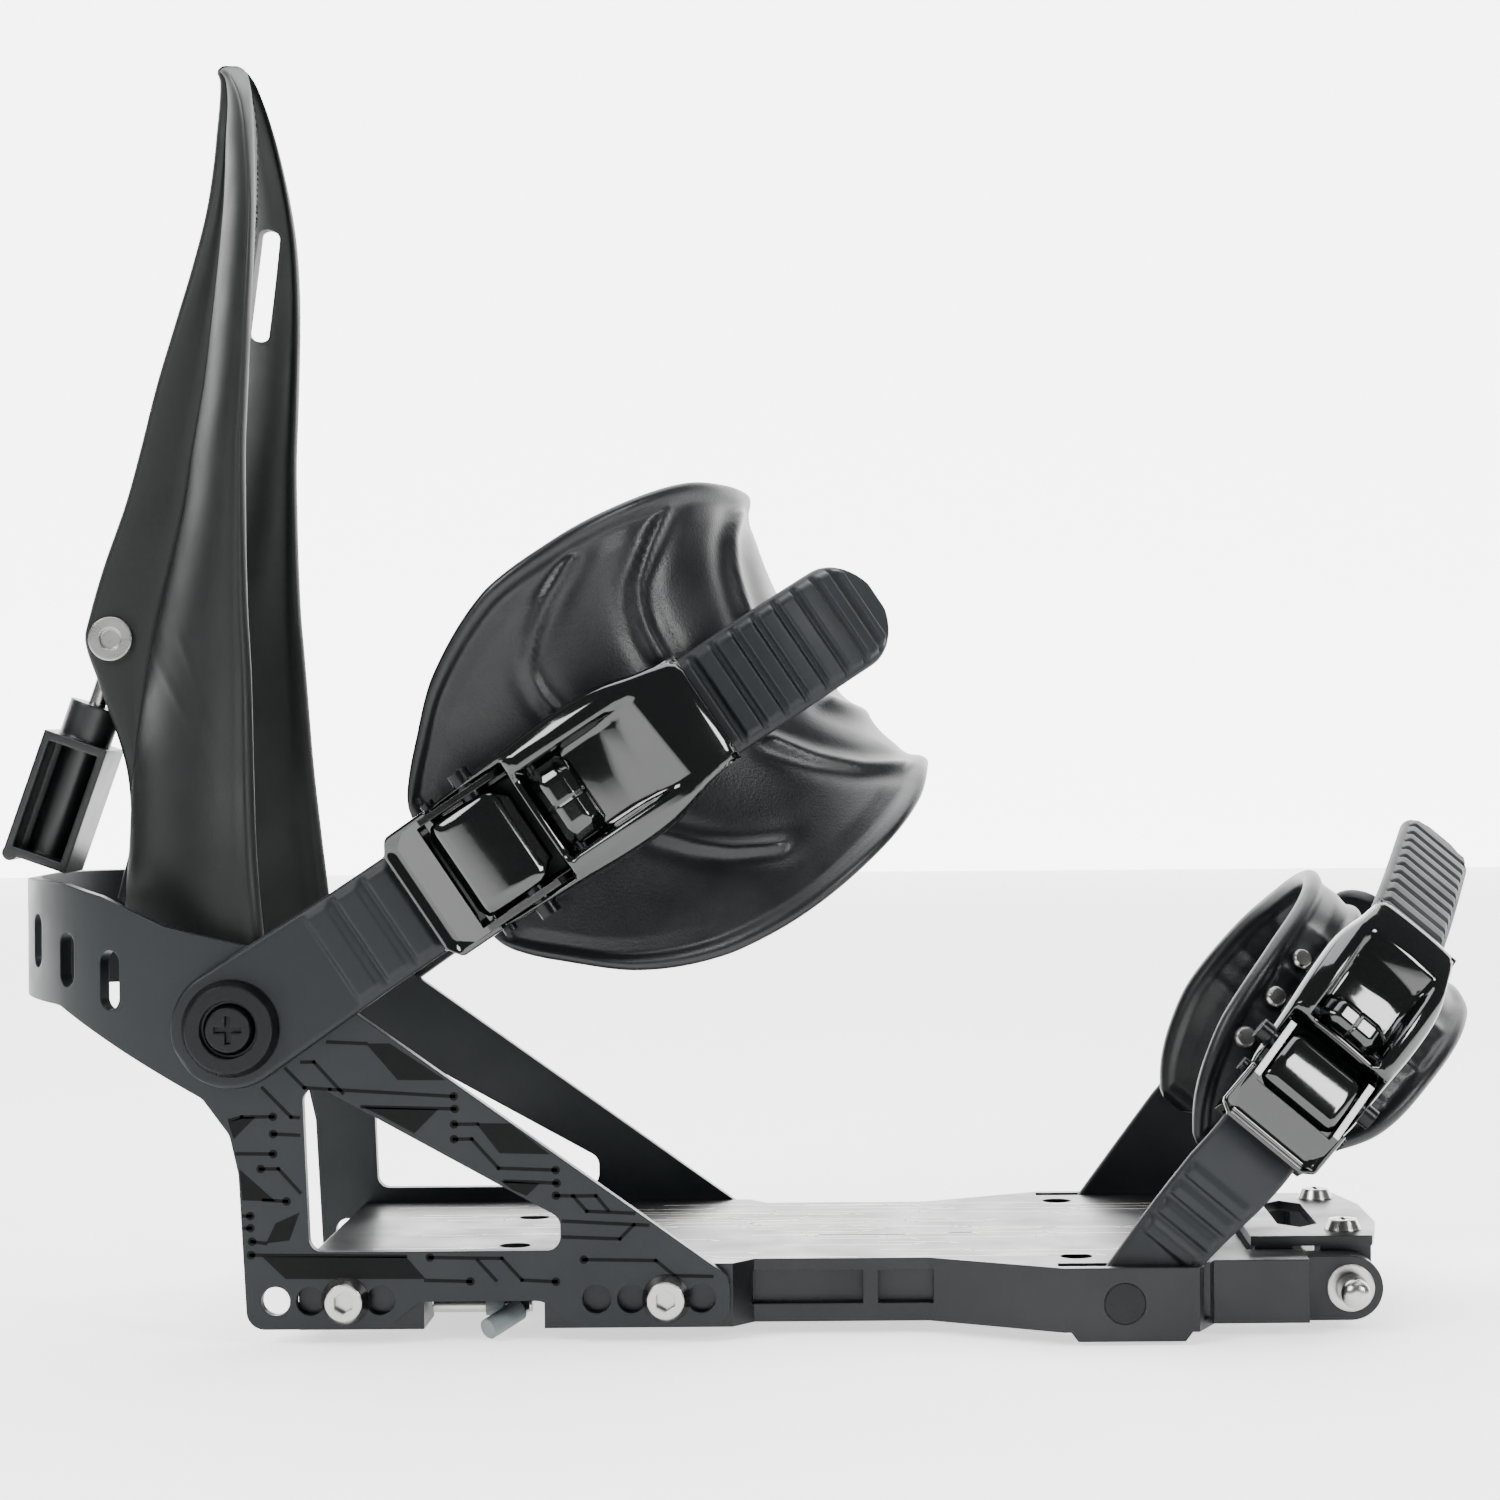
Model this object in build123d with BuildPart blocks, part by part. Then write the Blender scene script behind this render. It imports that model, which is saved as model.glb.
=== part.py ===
"""Splitboard snowboard binding: baseplate, heel loop, highback, ankle strap and toe strap.

Millimetres, +X to the toe, +Y to the far side, +Z up.  The origin is the middle of the puck
channel on the plane that the binding rests on.  The binding is the same on both sides, apart
from the straps, which buckle on the near (-Y) side.
"""
import os
from math import asin, atan2, cos, degrees, radians, sin

from build123d import *

os.makedirs("parts", exist_ok=True)

# ---- driving dimensions -------------------------------------------------------------------
running_gap = 0.05          # radial play of a pin that turns in its bore
skin_gap = 0.3              # gap between pieces that move past each other

# baseplate
deck_top = 15.7
deck_thickness = 3.0
rail_bottom = 2.0
base_rear = -112.0
deck_front = 94.0
waist_half = 43.9
heel_half = 50.0            # half-width under the heel plates
flange_half = 60.5          # half-width over the toe ears
block_half = 50.5
block_front = 106.1
channel_half = 36.0         # inside of the puck channel
channel_lip = 3.0
channel_lip_height = 2.5
pocket_depth = 3.0
pocket_height = 7.2
waist_pockets = ((-14.4, 9.7), (13.0, 25.0))   # start and end of each side pocket
arch_x, arch_length, arch_top = -72.0, 26.0, 8.4   # opening under each heel rail
board_hole_radius = 3.5
toe_hole_x, toe_hole_y = 56.2, 43.5
heel_hole_x, heel_hole_y = -68.2, 22.0

# toe ears and trunnions
ear_start, ear_end = 52.6, 81.5
trunnion_x, trunnion_z = 65.6, 8.1
trunnion_radius = 4.35
strap_pin_radius = 3.0
ear_wall = 2.9
ear_web = 2.6
ear_web_height = 4.0

# clevis ears, toe pins and snap ramp
clevis_half = 43.4
clevis_thickness = 8.0
pin_x, pin_z = 116.0, 8.3
clevis_nose = 7.0
pin_radius = 3.2
pin_reach = 10.0            # how far a pin stands out of its bush
pin_retract = 7.0
bush_radius = 5.15
ramp_rear, ramp_front = 95.1, 125.3
ramp_half = 34.5
ramp_under, ramp_top = 16.2, 18.4
knuckle_radius = 5.6
knuckle_length = 11.0
knuckle_foot = 3.0          # foot under each rear corner of the ramp
ramp_chamfer = 3.4
ramp_nose_half = 14.0
window_rear, window_front, window_half = 103.0, 112.0, 16.0
window_point = 5.5          # how far the window's middle runs past its ends
ramp_screw_x, ramp_screw_y = 116.6, 25.2
ramp_screw_radius = 1.5
ramp_head_radius, ramp_head_height = 4.2, 2.4

# heel loop
loop_thickness = 3.0
loop_outer = heel_half + loop_thickness
loop_centre_x = -127.5
plate_front = -18.9
loop_top = 98.7
loop_rear_bottom = 72.5
plate_bottom = 2.6
plate_corner, window_corner = 4.0, 3.0
hole_z = 8.7
hole_radius = 3.1
hole_pitch = 7.5
rear_holes_x, front_holes_x = -116.5, -47.5
screw_hole = 2              # which of the four holes in each row has the screw
m6_radius = 3.0
m6_head_radius = 5.25
m6_head_height = 3.3
m6_length = 16.0
hex_across, hex_depth = 4.0, 2.2
band_slot_width = 5.4
# turn from the rear, height and length of the slots on each side of the band
band_slots = ((14, 86, 12), (30, 85, 12), (46, 81.5, 12), (61, 77.5, 13))

# ankle pivot
pivot_x, pivot_z = -125.1, 67.7
pivot_screw_radius = 3.0
pivot_head_radius, pivot_head_height = 5.6, 2.4
cross_width, cross_depth = 1.3, 1.4
washer_radius = 10.5
washer_height = 3.2
washer_dish_radius, washer_dish_depth = 6.2, 1.8
nut_radius, nut_height = 7.5, 1.6
strap_thickness = 3.0

# highback
shell_thickness = 3.6
lug_x, lug_z = -160.5, 152.4
lug_half = 9.0              # half-width of the rib at the lug
rib_inside = 6.5
ear_radius = 11.0
ear_thickness = 5.2
ear_gap = 1.1               # the loop already curves in at the rear of the ear
lug_pin_radius = 3.0
lug_ring_radius = 5.0
lug_ring_height = 1.2
rib_hollow_length, rib_hollow_depth = 44.0, 16.0
wing_slot_x, wing_slot_z = -130.5, 236.3
wing_slot_length, wing_slot_width = 27.0, 3.4

# lean adjuster
rod_radius = 2.0
rod_tilt = 19.5             # degrees from vertical, foot to the rear
rod_length = 50.0
rod_eye_radius = 4.6
collar_start, collar_radius = 16.0, 6.0
tub_start, tub_end = 24.4, 53.9   # the tub just clears the top of the loop
tub_half = 7.5
adjuster_half = 9.0
tub_web = 1.2               # half-thickness of the web between the tub's two recesses
tub_rim = 2.0
hook_radius = 1.75

# straps
ankle_angle = 33.6          # rise of the ankle strap
toe_angle = 50.0            # rise of the toe strap
ankle_width = 24.4
ankle_end_radius = 13.1
toe_width = 19.1
toe_end_radius = 7.4
tooth_pitch = 5.3
tooth_depth = 1.1
ladder_y = loop_outer + skin_gap + strap_thickness / 2   # middle of the ankle ladder
pad_thickness = 4.6
ankle_arch = 50.5
ankle_arch_centre = 98.0
toe_arch = 47.5
toe_arch_centre = 51.5
toe_strap_y = 55.5
toe_buckle_angle = 24.5
toe_buckle_scale = 0.82
cap_window_start, cap_window_end, cap_window_width = 78.0, 114.0, 13.0
pad_screw_radius, rivet_radius = 2.0, 1.3
ankle_pad_screw_runs = (74, 90)
toe_rivet_runs, toe_rivet_across = (60, 71, 81), 14.6

# ratchet buckles
wall_thickness = 1.5
arm_thickness = 1.8
floor_thickness = 1.4
axle_y = 8.0                # height of the lever axle over the ladder's middle
lever_axle = 2.4
stud_radius = 1.6
pad_gap = 1.1               # between the buckle's floor and the pad
driver_axle = 1.2

# heel lock wire
wire_radius = 1.5
wire_y, wire_z = 41.0, 5.6
rod_start, sleeve_start, bend_x = -84.0, -72.5, -62.5
sleeve_length, sleeve_wall = 4.0, 0.75
cap_radius, cap_length = 2.3, 9.5


# ---- helpers ------------------------------------------------------------------------------
def finish(builder, name):
    """Label a finished piece and write it."""
    builder.part.label = name
    export_step(builder.part, "parts/" + name + ".step")


def side_plane(y=0.0):
    """Plane of a side view: sketch x is X, sketch y is Z, and +amount extrudes to -Y."""
    return Plane(origin=(0, y, 0), x_dir=(1, 0, 0), z_dir=(0, -1, 0))


def strap_plane(x, z, angle):
    """Plane in which a strap bends: sketch x runs up the strap, sketch y is +Y."""
    run = Vector(cos(radians(angle)), 0, sin(radians(angle)))
    across = Vector(-sin(radians(angle)), 0, cos(radians(angle)))
    return Plane(origin=(x, 0, z), x_dir=run, z_dir=across)


def face_plane(x, z, angle):
    """Plane of a strap's outline: sketch x runs up the strap, sketch y is across it."""
    run = Vector(cos(radians(angle)), 0, sin(radians(angle)))
    return Plane(origin=(x, 0, z), x_dir=run, z_dir=(0, -1, 0))


ankle_bend = strap_plane(pivot_x, pivot_z, ankle_angle)
ankle_face = face_plane(pivot_x, pivot_z, ankle_angle)
toe_bend = strap_plane(trunnion_x, trunnion_z, toe_angle)
toe_face = face_plane(trunnion_x, trunnion_z, toe_angle)
heel_screws_x = [
    rear_holes_x + screw_hole * hole_pitch,
    front_holes_x + screw_hole * hole_pitch,
]

# ---- baseplate: one machined aluminium channel with toe ears and clevis ears ---------------
outline = [
    (base_rear, heel_half), (plate_front + 0.5, heel_half), (plate_front + 5, waist_half),
    (24, waist_half), (ear_start, flange_half), (ear_end, flange_half),
    (ear_end + 4, block_half), (block_front, block_half), (block_front, clevis_half),
]
with BuildPart() as baseplate:
    with BuildSketch(Plane.XY.offset(deck_top - deck_thickness)):
        with BuildLine():
            Polyline(*outline[:-2], (deck_front, block_half), (deck_front, -block_half),
                     *[(x, -y) for x, y in reversed(outline[:-2])], close=True)
        make_face()
    extrude(amount=deck_thickness)
    for side in (1, -1):
        with BuildSketch(Plane.XY.offset(rail_bottom)):
            with BuildLine():
                Polyline((base_rear, side * channel_half), *[(x, side * y) for x, y in outline],
                         (block_front, side * channel_half), close=True)
            make_face()
        extrude(amount=deck_top - rail_bottom)
        with BuildSketch(Plane.XY.offset(rail_bottom)):
            with Locations(((base_rear + deck_front) / 2, side * (channel_half - channel_lip / 2))):
                Rectangle(deck_front - base_rear, channel_lip + 0.02)
        extrude(amount=channel_lip_height)
    # ear lobes and clevis ears, drawn in the side view
    ear_middle = (flange_half + block_half) / 2
    for centre_y in (-ear_middle, ear_middle):
        with BuildSketch(side_plane(centre_y)):
            with BuildLine():
                Polyline((ear_start, 4), (ear_start + 3, 0), (ear_end - 3, 0), (ear_end, 4),
                         (ear_end, 12.5), (ear_end - 6.7, deck_top), (ear_start, deck_top),
                         close=True)
            make_face()
        extrude(amount=flange_half - ear_middle, both=True)
    for centre_y in (-(clevis_half - clevis_thickness / 2), clevis_half - clevis_thickness / 2):
        with BuildSketch(side_plane(centre_y)):
            with Locations((pin_x, pin_z)):
                Circle(clevis_nose)
            with Locations(((block_front - 4 + pin_x) / 2, pin_z)):
                Rectangle(pin_x - block_front + 4, 2 * clevis_nose)
        extrude(amount=clevis_thickness / 2, both=True)
        with Locations(Plane(origin=(pin_x, centre_y, pin_z), z_dir=(0, 1, 0))):
            Hole(bush_radius)
    # pocket for the end of each toe strap, open at the top, and its two low webs
    for side in (1, -1):
        pocket_in = toe_strap_y - strap_thickness / 2 - 0.6
        pocket_out = flange_half - ear_wall
        with Locations(((ear_start + ear_end) / 2 + 2, side * (pocket_in + pocket_out) / 2,
                        (deck_top + ear_web_height) / 2 + 1)):
            Box(ear_end - ear_start + 6, pocket_out - pocket_in,
                deck_top - ear_web_height + 2, mode=Mode.SUBTRACT)
        with Locations(((ear_start + ear_end) / 2, side * (pocket_in + pocket_out) / 2, 2)):
            Box(ear_end - ear_start - 2 * ear_web, pocket_out - pocket_in, 8, mode=Mode.SUBTRACT)
        with Locations(Plane(origin=(trunnion_x, side * flange_half, trunnion_z),
                             z_dir=(0, side, 0))):
            Hole(strap_pin_radius, depth=flange_half - block_half + 6)
            Hole(trunnion_radius + 0.1, depth=ear_wall)
        # side pockets in the waist
        for start, end in waist_pockets:
            with Locations(((start + end) / 2, side * (waist_half - pocket_depth / 2 + 0.5), 9.5)):
                Box(end - start, pocket_depth + 1, pocket_height, mode=Mode.SUBTRACT)
        # arch under the heel, between the two feet of the heel plate
        with Locations((arch_x, side * (heel_half + channel_half - channel_lip - 1) / 2,
                        arch_top / 2)):
            Box(arch_length, heel_half - channel_half + channel_lip + 2, arch_top,
                mode=Mode.SUBTRACT)
        # threaded bores for the heel loop screws
        for x in heel_screws_x:
            with Locations(Plane(origin=(x, side * heel_half, hole_z), z_dir=(0, side, 0))):
                Hole(m6_radius, depth=m6_length - loop_thickness + 0.5)
    # board mounting holes through the deck
    with Locations((toe_hole_x, toe_hole_y, deck_top), (toe_hole_x, -toe_hole_y, deck_top)):
        Hole(board_hole_radius, depth=deck_top)
    with Locations((heel_hole_x, heel_hole_y, deck_top), (heel_hole_x, -heel_hole_y, deck_top)):
        Hole(board_hole_radius, depth=deck_thickness)
finish(baseplate, "baseplate")

# ---- heel loop: one bent aluminium strip, two side plates and the round band ---------------
plate_outline = [
    (loop_centre_x - loop_outer - 1, loop_rear_bottom), (-166.5, 71.4), (-150, 62.2),
    (-132, 52.3), (-126.2, 44.5), (-124.3, 36), (-122.6, plate_bottom),
    (-92.6, plate_bottom), (-85.5, 8.4), (-59, 8.4), (-52.5, plate_bottom),
    (plate_front, plate_bottom), (plate_front, 13.2), (-97.6, 69.6), (-117.7, 84),
    (-140, 89.2), (-155, 95.6), (-165, loop_top - 0.6),
    (loop_centre_x - loop_outer - 1, loop_top),
]
window = [(-109.2, 19.2), (-110.6, 56.8), (-55.2, 26.2), (-55.2, 19.2)]
with BuildPart() as heel_loop:
    with BuildSketch():
        with Locations((loop_centre_x, 0)):
            Circle(loop_outer)
        with Locations(((loop_centre_x + plate_front) / 2, 0)):
            Rectangle(plate_front - loop_centre_x, 2 * loop_outer)
        with Locations((loop_centre_x, 0)):
            Circle(loop_outer - loop_thickness, mode=Mode.SUBTRACT)
        with Locations(((loop_centre_x + plate_front) / 2 + 1, 0)):
            Rectangle(plate_front - loop_centre_x + 2, 2 * (loop_outer - loop_thickness),
                      mode=Mode.SUBTRACT)
    extrude(amount=loop_top + 5)
    with BuildSketch(side_plane()):
        with BuildLine():
            FilletPolyline(*plate_outline, radius=plate_corner, close=True)
        make_face()
        with BuildLine():
            FilletPolyline(*window, radius=window_corner, close=True)
        make_face(mode=Mode.SUBTRACT)
        with Locations(*[(row + i * hole_pitch, hole_z)
                         for row in (rear_holes_x, front_holes_x) for i in range(4)]):
            Circle(hole_radius, mode=Mode.SUBTRACT)
        with Locations((pivot_x, pivot_z)):
            Circle(pivot_screw_radius, mode=Mode.SUBTRACT)
    extrude(amount=loop_outer + 1, both=True, mode=Mode.INTERSECT)
    # slots round the band
    for angle, z, length in band_slots:
        for side in (1, -1):
            out = Vector(-cos(radians(angle)), side * sin(radians(angle)), 0)
            spot = Plane(origin=(loop_centre_x, 0, z), x_dir=(0, 0, 1), z_dir=out)
            with BuildSketch(spot.offset(loop_outer - loop_thickness - 2)):
                SlotOverall(length, band_slot_width)
            extrude(amount=loop_thickness + 4, mode=Mode.SUBTRACT)
finish(heel_loop, "heel_loop")

# ---- button-head screws that hold the heel plates to the baseplate -------------------------
with BuildPart() as heel_loop_screws:
    for side in (1, -1):
        for x in heel_screws_x:
            seat = Plane(origin=(x, side * loop_outer, hole_z), z_dir=(0, side, 0))
            with BuildSketch(seat):
                Circle(m6_head_radius)
            extrude(amount=m6_head_height, taper=22)
            with BuildSketch(seat):
                Circle(m6_radius)
            extrude(amount=-m6_length + 0.6)
            with BuildSketch(seat.offset(m6_head_height)):
                RegularPolygon(hex_across / 2, 6, major_radius=False)
            extrude(amount=-hex_depth, mode=Mode.SUBTRACT)
finish(heel_loop_screws, "heel_loop_screws")

# ---- ankle pivots: screw, dished washer and nut on each side -------------------------------
strap_outer = ladder_y + strap_thickness / 2
ear_inner = loop_outer - loop_thickness - ear_gap - ear_thickness
screw_seat = strap_outer + 0.2 + washer_height - washer_dish_depth
with BuildPart() as ankle_washers:
    for side in (1, -1):
        seat = Plane(origin=(pivot_x, side * (strap_outer + 0.2), pivot_z), z_dir=(0, side, 0))
        with BuildSketch(seat):
            Circle(washer_radius)
        extrude(amount=washer_height, taper=20)
        with BuildSketch(seat.offset(washer_height)):
            Circle(washer_dish_radius)
        extrude(amount=-washer_dish_depth, mode=Mode.SUBTRACT)
        with BuildSketch(seat):
            Circle(pivot_screw_radius)
        extrude(amount=washer_height, mode=Mode.SUBTRACT)
finish(ankle_washers, "ankle_washers")

with BuildPart() as ankle_screws:
    for side in (1, -1):
        seat = Plane(origin=(pivot_x, side * screw_seat, pivot_z), z_dir=(0, side, 0))
        with BuildSketch(seat):
            Circle(pivot_head_radius)
        extrude(amount=pivot_head_height, taper=20)
        with BuildSketch(seat):
            Circle(pivot_screw_radius)
        extrude(amount=ear_inner - nut_height - skin_gap - screw_seat)
        with BuildSketch(seat.offset(pivot_head_height)):
            Rectangle(pivot_head_radius + 0.4, cross_width)
            Rectangle(cross_width, pivot_head_radius + 0.4)
        extrude(amount=-cross_depth, mode=Mode.SUBTRACT)
finish(ankle_screws, "ankle_screws")

with BuildPart() as ankle_nuts:
    for side in (1, -1):
        seat = Plane(origin=(pivot_x, side * (ear_inner - skin_gap), pivot_z), z_dir=(0, -side, 0))
        with BuildSketch(seat):
            Circle(nut_radius)
            Circle(pivot_screw_radius, mode=Mode.SUBTRACT)
        extrude(amount=nut_height)
finish(ankle_nuts, "ankle_nuts")

# ---- highback: thin moulded shell with a hollow rib down its back --------------------------
# height, spine x, rim x, half-width at the rim
shell_stations = [
    (50, -157.0, -117.0, 47.6), (90, -158.0, -121.0, 47.6), (118, -157.0, -122.6, 44.6),
    (145, -153.5, -124.0, 38.5), (183, -145.5, -125.6, 36.2), (225, -139.0, -124.0, 35.0),
    (250, -135.8, -124.2, 29.0), (270, -133.5, -127.5, 18.0), (283, -136.0, -133.0, 6.0),
]
rib_back = [
    (-136.5, 280), (-137.5, 258), (-139.8, 248), (-146, 225), (-151, 210), (-158, 183.4),
    (-163, 169), (-166.2, 159), (-167.5, 151.8), (-166.3, 146), (-162.2, 136.6),
    (-159.2, 129.7), (-158.2, 112), (-156, 100),
]


def shell_solid(inset, opening):
    """Highback blank through all stations, moved in by inset, its open side out by opening."""
    with BuildPart() as blank:
        for z, spine, rim, half in shell_stations:
            with BuildSketch(Plane.XY.offset(z)):
                with BuildLine():
                    ThreePointArc((rim, inset - half), (spine + inset, 0), (rim, half - inset))
                    Polyline((rim, half - inset), (rim + opening, half - inset),
                             (rim + opening, inset - half), (rim, inset - half))
                make_face()
        loft()
    return blank.part


ear_outline = [
    (-200, 97), (-158, 92), (-146, 80), (-138.5, 66), (-137, 60), (-131, 55.5), (-119, 55.5),
    (-113.5, 61), (-112, 74), (-100, 90), (-100, 300), (-200, 300),
]
shell_outer = shell_solid(0.0, 1.0)
shell_hollow = shell_solid(shell_thickness, 4.0)
with BuildPart() as highback:
    add(shell_outer)
    add(shell_hollow, mode=Mode.SUBTRACT)
    with BuildSketch(side_plane()):
        with BuildLine():
            Polyline(*rib_back, (-146, 100), (-148, 145), (-140, 183), (-133, 225),
                     (-131.5, 262), close=True)
        make_face()
    extrude(amount=lug_half, both=True)
    add(shell_hollow, mode=Mode.SUBTRACT)
    with Locations((lug_x - 2.5, 0, 140)):
        Box(rib_hollow_depth, 2 * rib_inside, rib_hollow_length, mode=Mode.SUBTRACT)
    with BuildSketch(side_plane()):
        with BuildLine():
            Polyline(*ear_outline, close=True)
        make_face()
    extrude(amount=loop_outer, both=True, mode=Mode.INTERSECT)
    for side in (1, -1):
        ear = Plane(origin=(pivot_x, side * ear_inner, pivot_z), z_dir=(0, side, 0))
        with BuildSketch(ear):
            Circle(ear_radius)
        extrude(amount=ear_thickness)
        with BuildSketch(ear.offset(-6)):
            Circle(nut_radius + 0.6)
        extrude(amount=6, mode=Mode.SUBTRACT)
        with BuildSketch(ear.offset(-3)):
            Circle(pivot_screw_radius + running_gap)
        extrude(amount=ear_thickness + 6, mode=Mode.SUBTRACT)
        # long slot through each wing
        with BuildSketch(Plane(origin=(wing_slot_x, side * 15, wing_slot_z),
                               x_dir=(0.118, 0, 0.993), z_dir=(0, side, 0))):
            SlotOverall(wing_slot_length, wing_slot_width)
        extrude(amount=30, mode=Mode.SUBTRACT)
    with Locations(Plane(origin=(lug_x, 0, lug_z), z_dir=(0, 1, 0))):
        Hole(lug_pin_radius)
finish(highback, "highback")

# ---- lean adjuster: cross pin in the rib, threaded rod, and the block that meets the loop ---
with BuildPart() as lean_pin:
    with BuildSketch(Plane(origin=(lug_x, lug_half + lug_ring_height, lug_z), z_dir=(0, -1, 0))):
        Circle(lug_pin_radius)
    extrude(amount=2 * (lug_half + lug_ring_height))
    for side in (1, -1):
        with BuildSketch(Plane(origin=(lug_x, side * lug_half, lug_z), z_dir=(0, side, 0))):
            Circle(lug_ring_radius)
            Circle(lug_pin_radius, mode=Mode.SUBTRACT)
        extrude(amount=lug_ring_height)
        with BuildSketch(Plane(origin=(lug_x, side * (lug_half + lug_ring_height), lug_z),
                               z_dir=(0, -side, 0))):
            Circle(2.4)
        extrude(amount=0.8, mode=Mode.SUBTRACT)
finish(lean_pin, "lean_pin")

rod_down = Vector(-sin(radians(rod_tilt)), 0, -cos(radians(rod_tilt)))
rod_plane = Plane(origin=(lug_x, 0, lug_z), x_dir=(0, 1, 0), z_dir=rod_down)
with BuildPart() as lean_rod:
    with BuildSketch(Plane(origin=(lug_x, rib_inside - 0.6, lug_z), z_dir=(0, -1, 0))):
        Circle(rod_eye_radius)
    extrude(amount=2 * rib_inside - 1.2)
    with BuildSketch(rod_plane):
        Circle(rod_radius)
    extrude(amount=rod_length)
    with BuildSketch(Plane(origin=(lug_x, rib_inside, lug_z), z_dir=(0, -1, 0))):
        Circle(lug_pin_radius + running_gap)
    extrude(amount=2 * rib_inside, mode=Mode.SUBTRACT)
finish(lean_rod, "lean_rod")

with BuildPart() as lean_block:
    with BuildSketch(rod_plane.offset(collar_start)):
        Circle(collar_radius)
    extrude(amount=tub_start - collar_start)
    with BuildSketch(rod_plane.offset(tub_start)):
        Rectangle(2 * adjuster_half, 2 * tub_half)
    extrude(amount=tub_end - tub_start)
    tub_middle = (tub_start + tub_end) / 2
    for side in (1, -1):
        centre = rod_plane.origin + rod_down * tub_middle + Vector(0, side * adjuster_half, 0)
        with BuildSketch(Plane(origin=centre, x_dir=rod_down, z_dir=(0, side, 0))):
            Rectangle(tub_end - tub_start - 2 * tub_rim, 2 * (tub_half - tub_rim) + 0.6)
        extrude(amount=tub_web - adjuster_half, mode=Mode.SUBTRACT)
    with BuildSketch(rod_plane.offset(tub_start)):
        Circle(4.4)
    extrude(amount=tub_end - tub_start)
    # bead along the rear of the foot, which hooks over the loop
    bead = rod_plane.origin + rod_down * (tub_end - 0.4) + Vector(0, adjuster_half, 0)
    bead += Vector(-cos(radians(rod_tilt)), 0, sin(radians(rod_tilt))) * (tub_half - 1.6)
    with BuildSketch(Plane(origin=bead, z_dir=(0, -1, 0))):
        Circle(hook_radius)
    extrude(amount=2 * adjuster_half)
    with BuildSketch(rod_plane):
        Circle(rod_radius + running_gap)
    extrude(amount=tub_end + 2, mode=Mode.SUBTRACT)
finish(lean_block, "lean_block")


# ---- straps: moulded ribbons that bend in one plane, cut to an outline ----------------------
def ribbon(bend, face, route, radius, width, end_radius, end_half, teeth=(0, 0), tip=0.0):
    """Strap of one thickness along a route, round at the pin end, with a bored pin hole.

    route holds (run, y) points in the bend plane; teeth is the run of the toothed stretch.
    """
    inward = -1 if route[0][1] > 0 else 1
    with BuildPart() as strap:
        with BuildSketch(bend):
            with BuildLine():
                line = FilletPolyline(*route, radius=radius)
            trace(line_width=strap_thickness)
            start, end = teeth
            for i in range(int((end - start) / tooth_pitch) if end else 0):
                along = (start + i * tooth_pitch) / line.length
                spot = line @ along
                heading = line % along
                angle = degrees(atan2(heading.Y, heading.X))
                lift = Vector(heading.Y, -heading.X) * inward * (strap_thickness / 2)
                with Locations(Location((spot.X + lift.X, spot.Y + lift.Y, 0), (0, 0, angle))):
                    Trapezoid(tooth_pitch * 0.62, 2 * tooth_depth, 60, rotation=0)
        extrude(amount=width / 2 + 6, both=True)
        with BuildSketch(face):
            Circle(end_radius)
            with BuildLine():
                Polyline((0, -end_radius), (end_half, -width / 2), (300, -width / 2),
                         (300, width / 2), (end_half, width / 2), (0, end_radius), close=True)
            make_face()
            if tip:
                with Locations((tip + 150 - width / 2, 0)):
                    Rectangle(300, width + 20, mode=Mode.SUBTRACT)
                with Locations((tip - width / 2, 0)):
                    Circle(width / 2)
        extrude(amount=120, both=True, mode=Mode.INTERSECT)
    return strap


def bore(strap, x, z, side, y, radius):
    """Cut the pin hole of a strap."""
    with BuildPart() as cutter:
        with BuildSketch(Plane(origin=(x, side * (y - 8), z), z_dir=(0, side, 0))):
            Circle(radius)
        extrude(amount=16)
    strap.part = strap.part - cutter.part


ankle_ladder = ribbon(
    ankle_bend, ankle_face,
    [(-20, -ladder_y), (112, -ladder_y), (152, -49.5), (168, -33)], 42,
    ankle_width, ankle_end_radius, 30, teeth=(90, 175), tip=165,
)
bore(ankle_ladder, pivot_x, pivot_z, -1, ladder_y, pivot_screw_radius + running_gap)
finish(ankle_ladder, "ankle_ladder")
ankle_far_strap = ribbon(
    ankle_bend, ankle_face,
    [(-20, ladder_y), (40, ladder_y), (62, ankle_arch + 2.0), (97, ankle_arch + 2.0),
     (113, 52.4), (126, 47)], 14,
    ankle_width, ankle_end_radius, 30,
)
bore(ankle_far_strap, pivot_x, pivot_z, 1, ladder_y, pivot_screw_radius + running_gap)
toe_ladder = ribbon(
    toe_bend, toe_face,
    [(-12, -toe_strap_y), (22, -toe_strap_y), (41, -62.5), (97, -37), (116, -16), (124, 6)], 13,
    toe_width, toe_end_radius, 12, teeth=(66, 150), tip=0.0,
)
bore(toe_ladder, trunnion_x, trunnion_z, -1, toe_strap_y, strap_pin_radius + running_gap)
finish(toe_ladder, "toe_ladder")
toe_far_strap = ribbon(
    toe_bend, toe_face,
    [(-12, toe_strap_y), (22, toe_strap_y), (50, 53), (82, 43), (104, 22)], 13,
    toe_width, toe_end_radius, 12,
)
bore(toe_far_strap, trunnion_x, trunnion_z, 1, toe_strap_y, strap_pin_radius + running_gap)


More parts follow.
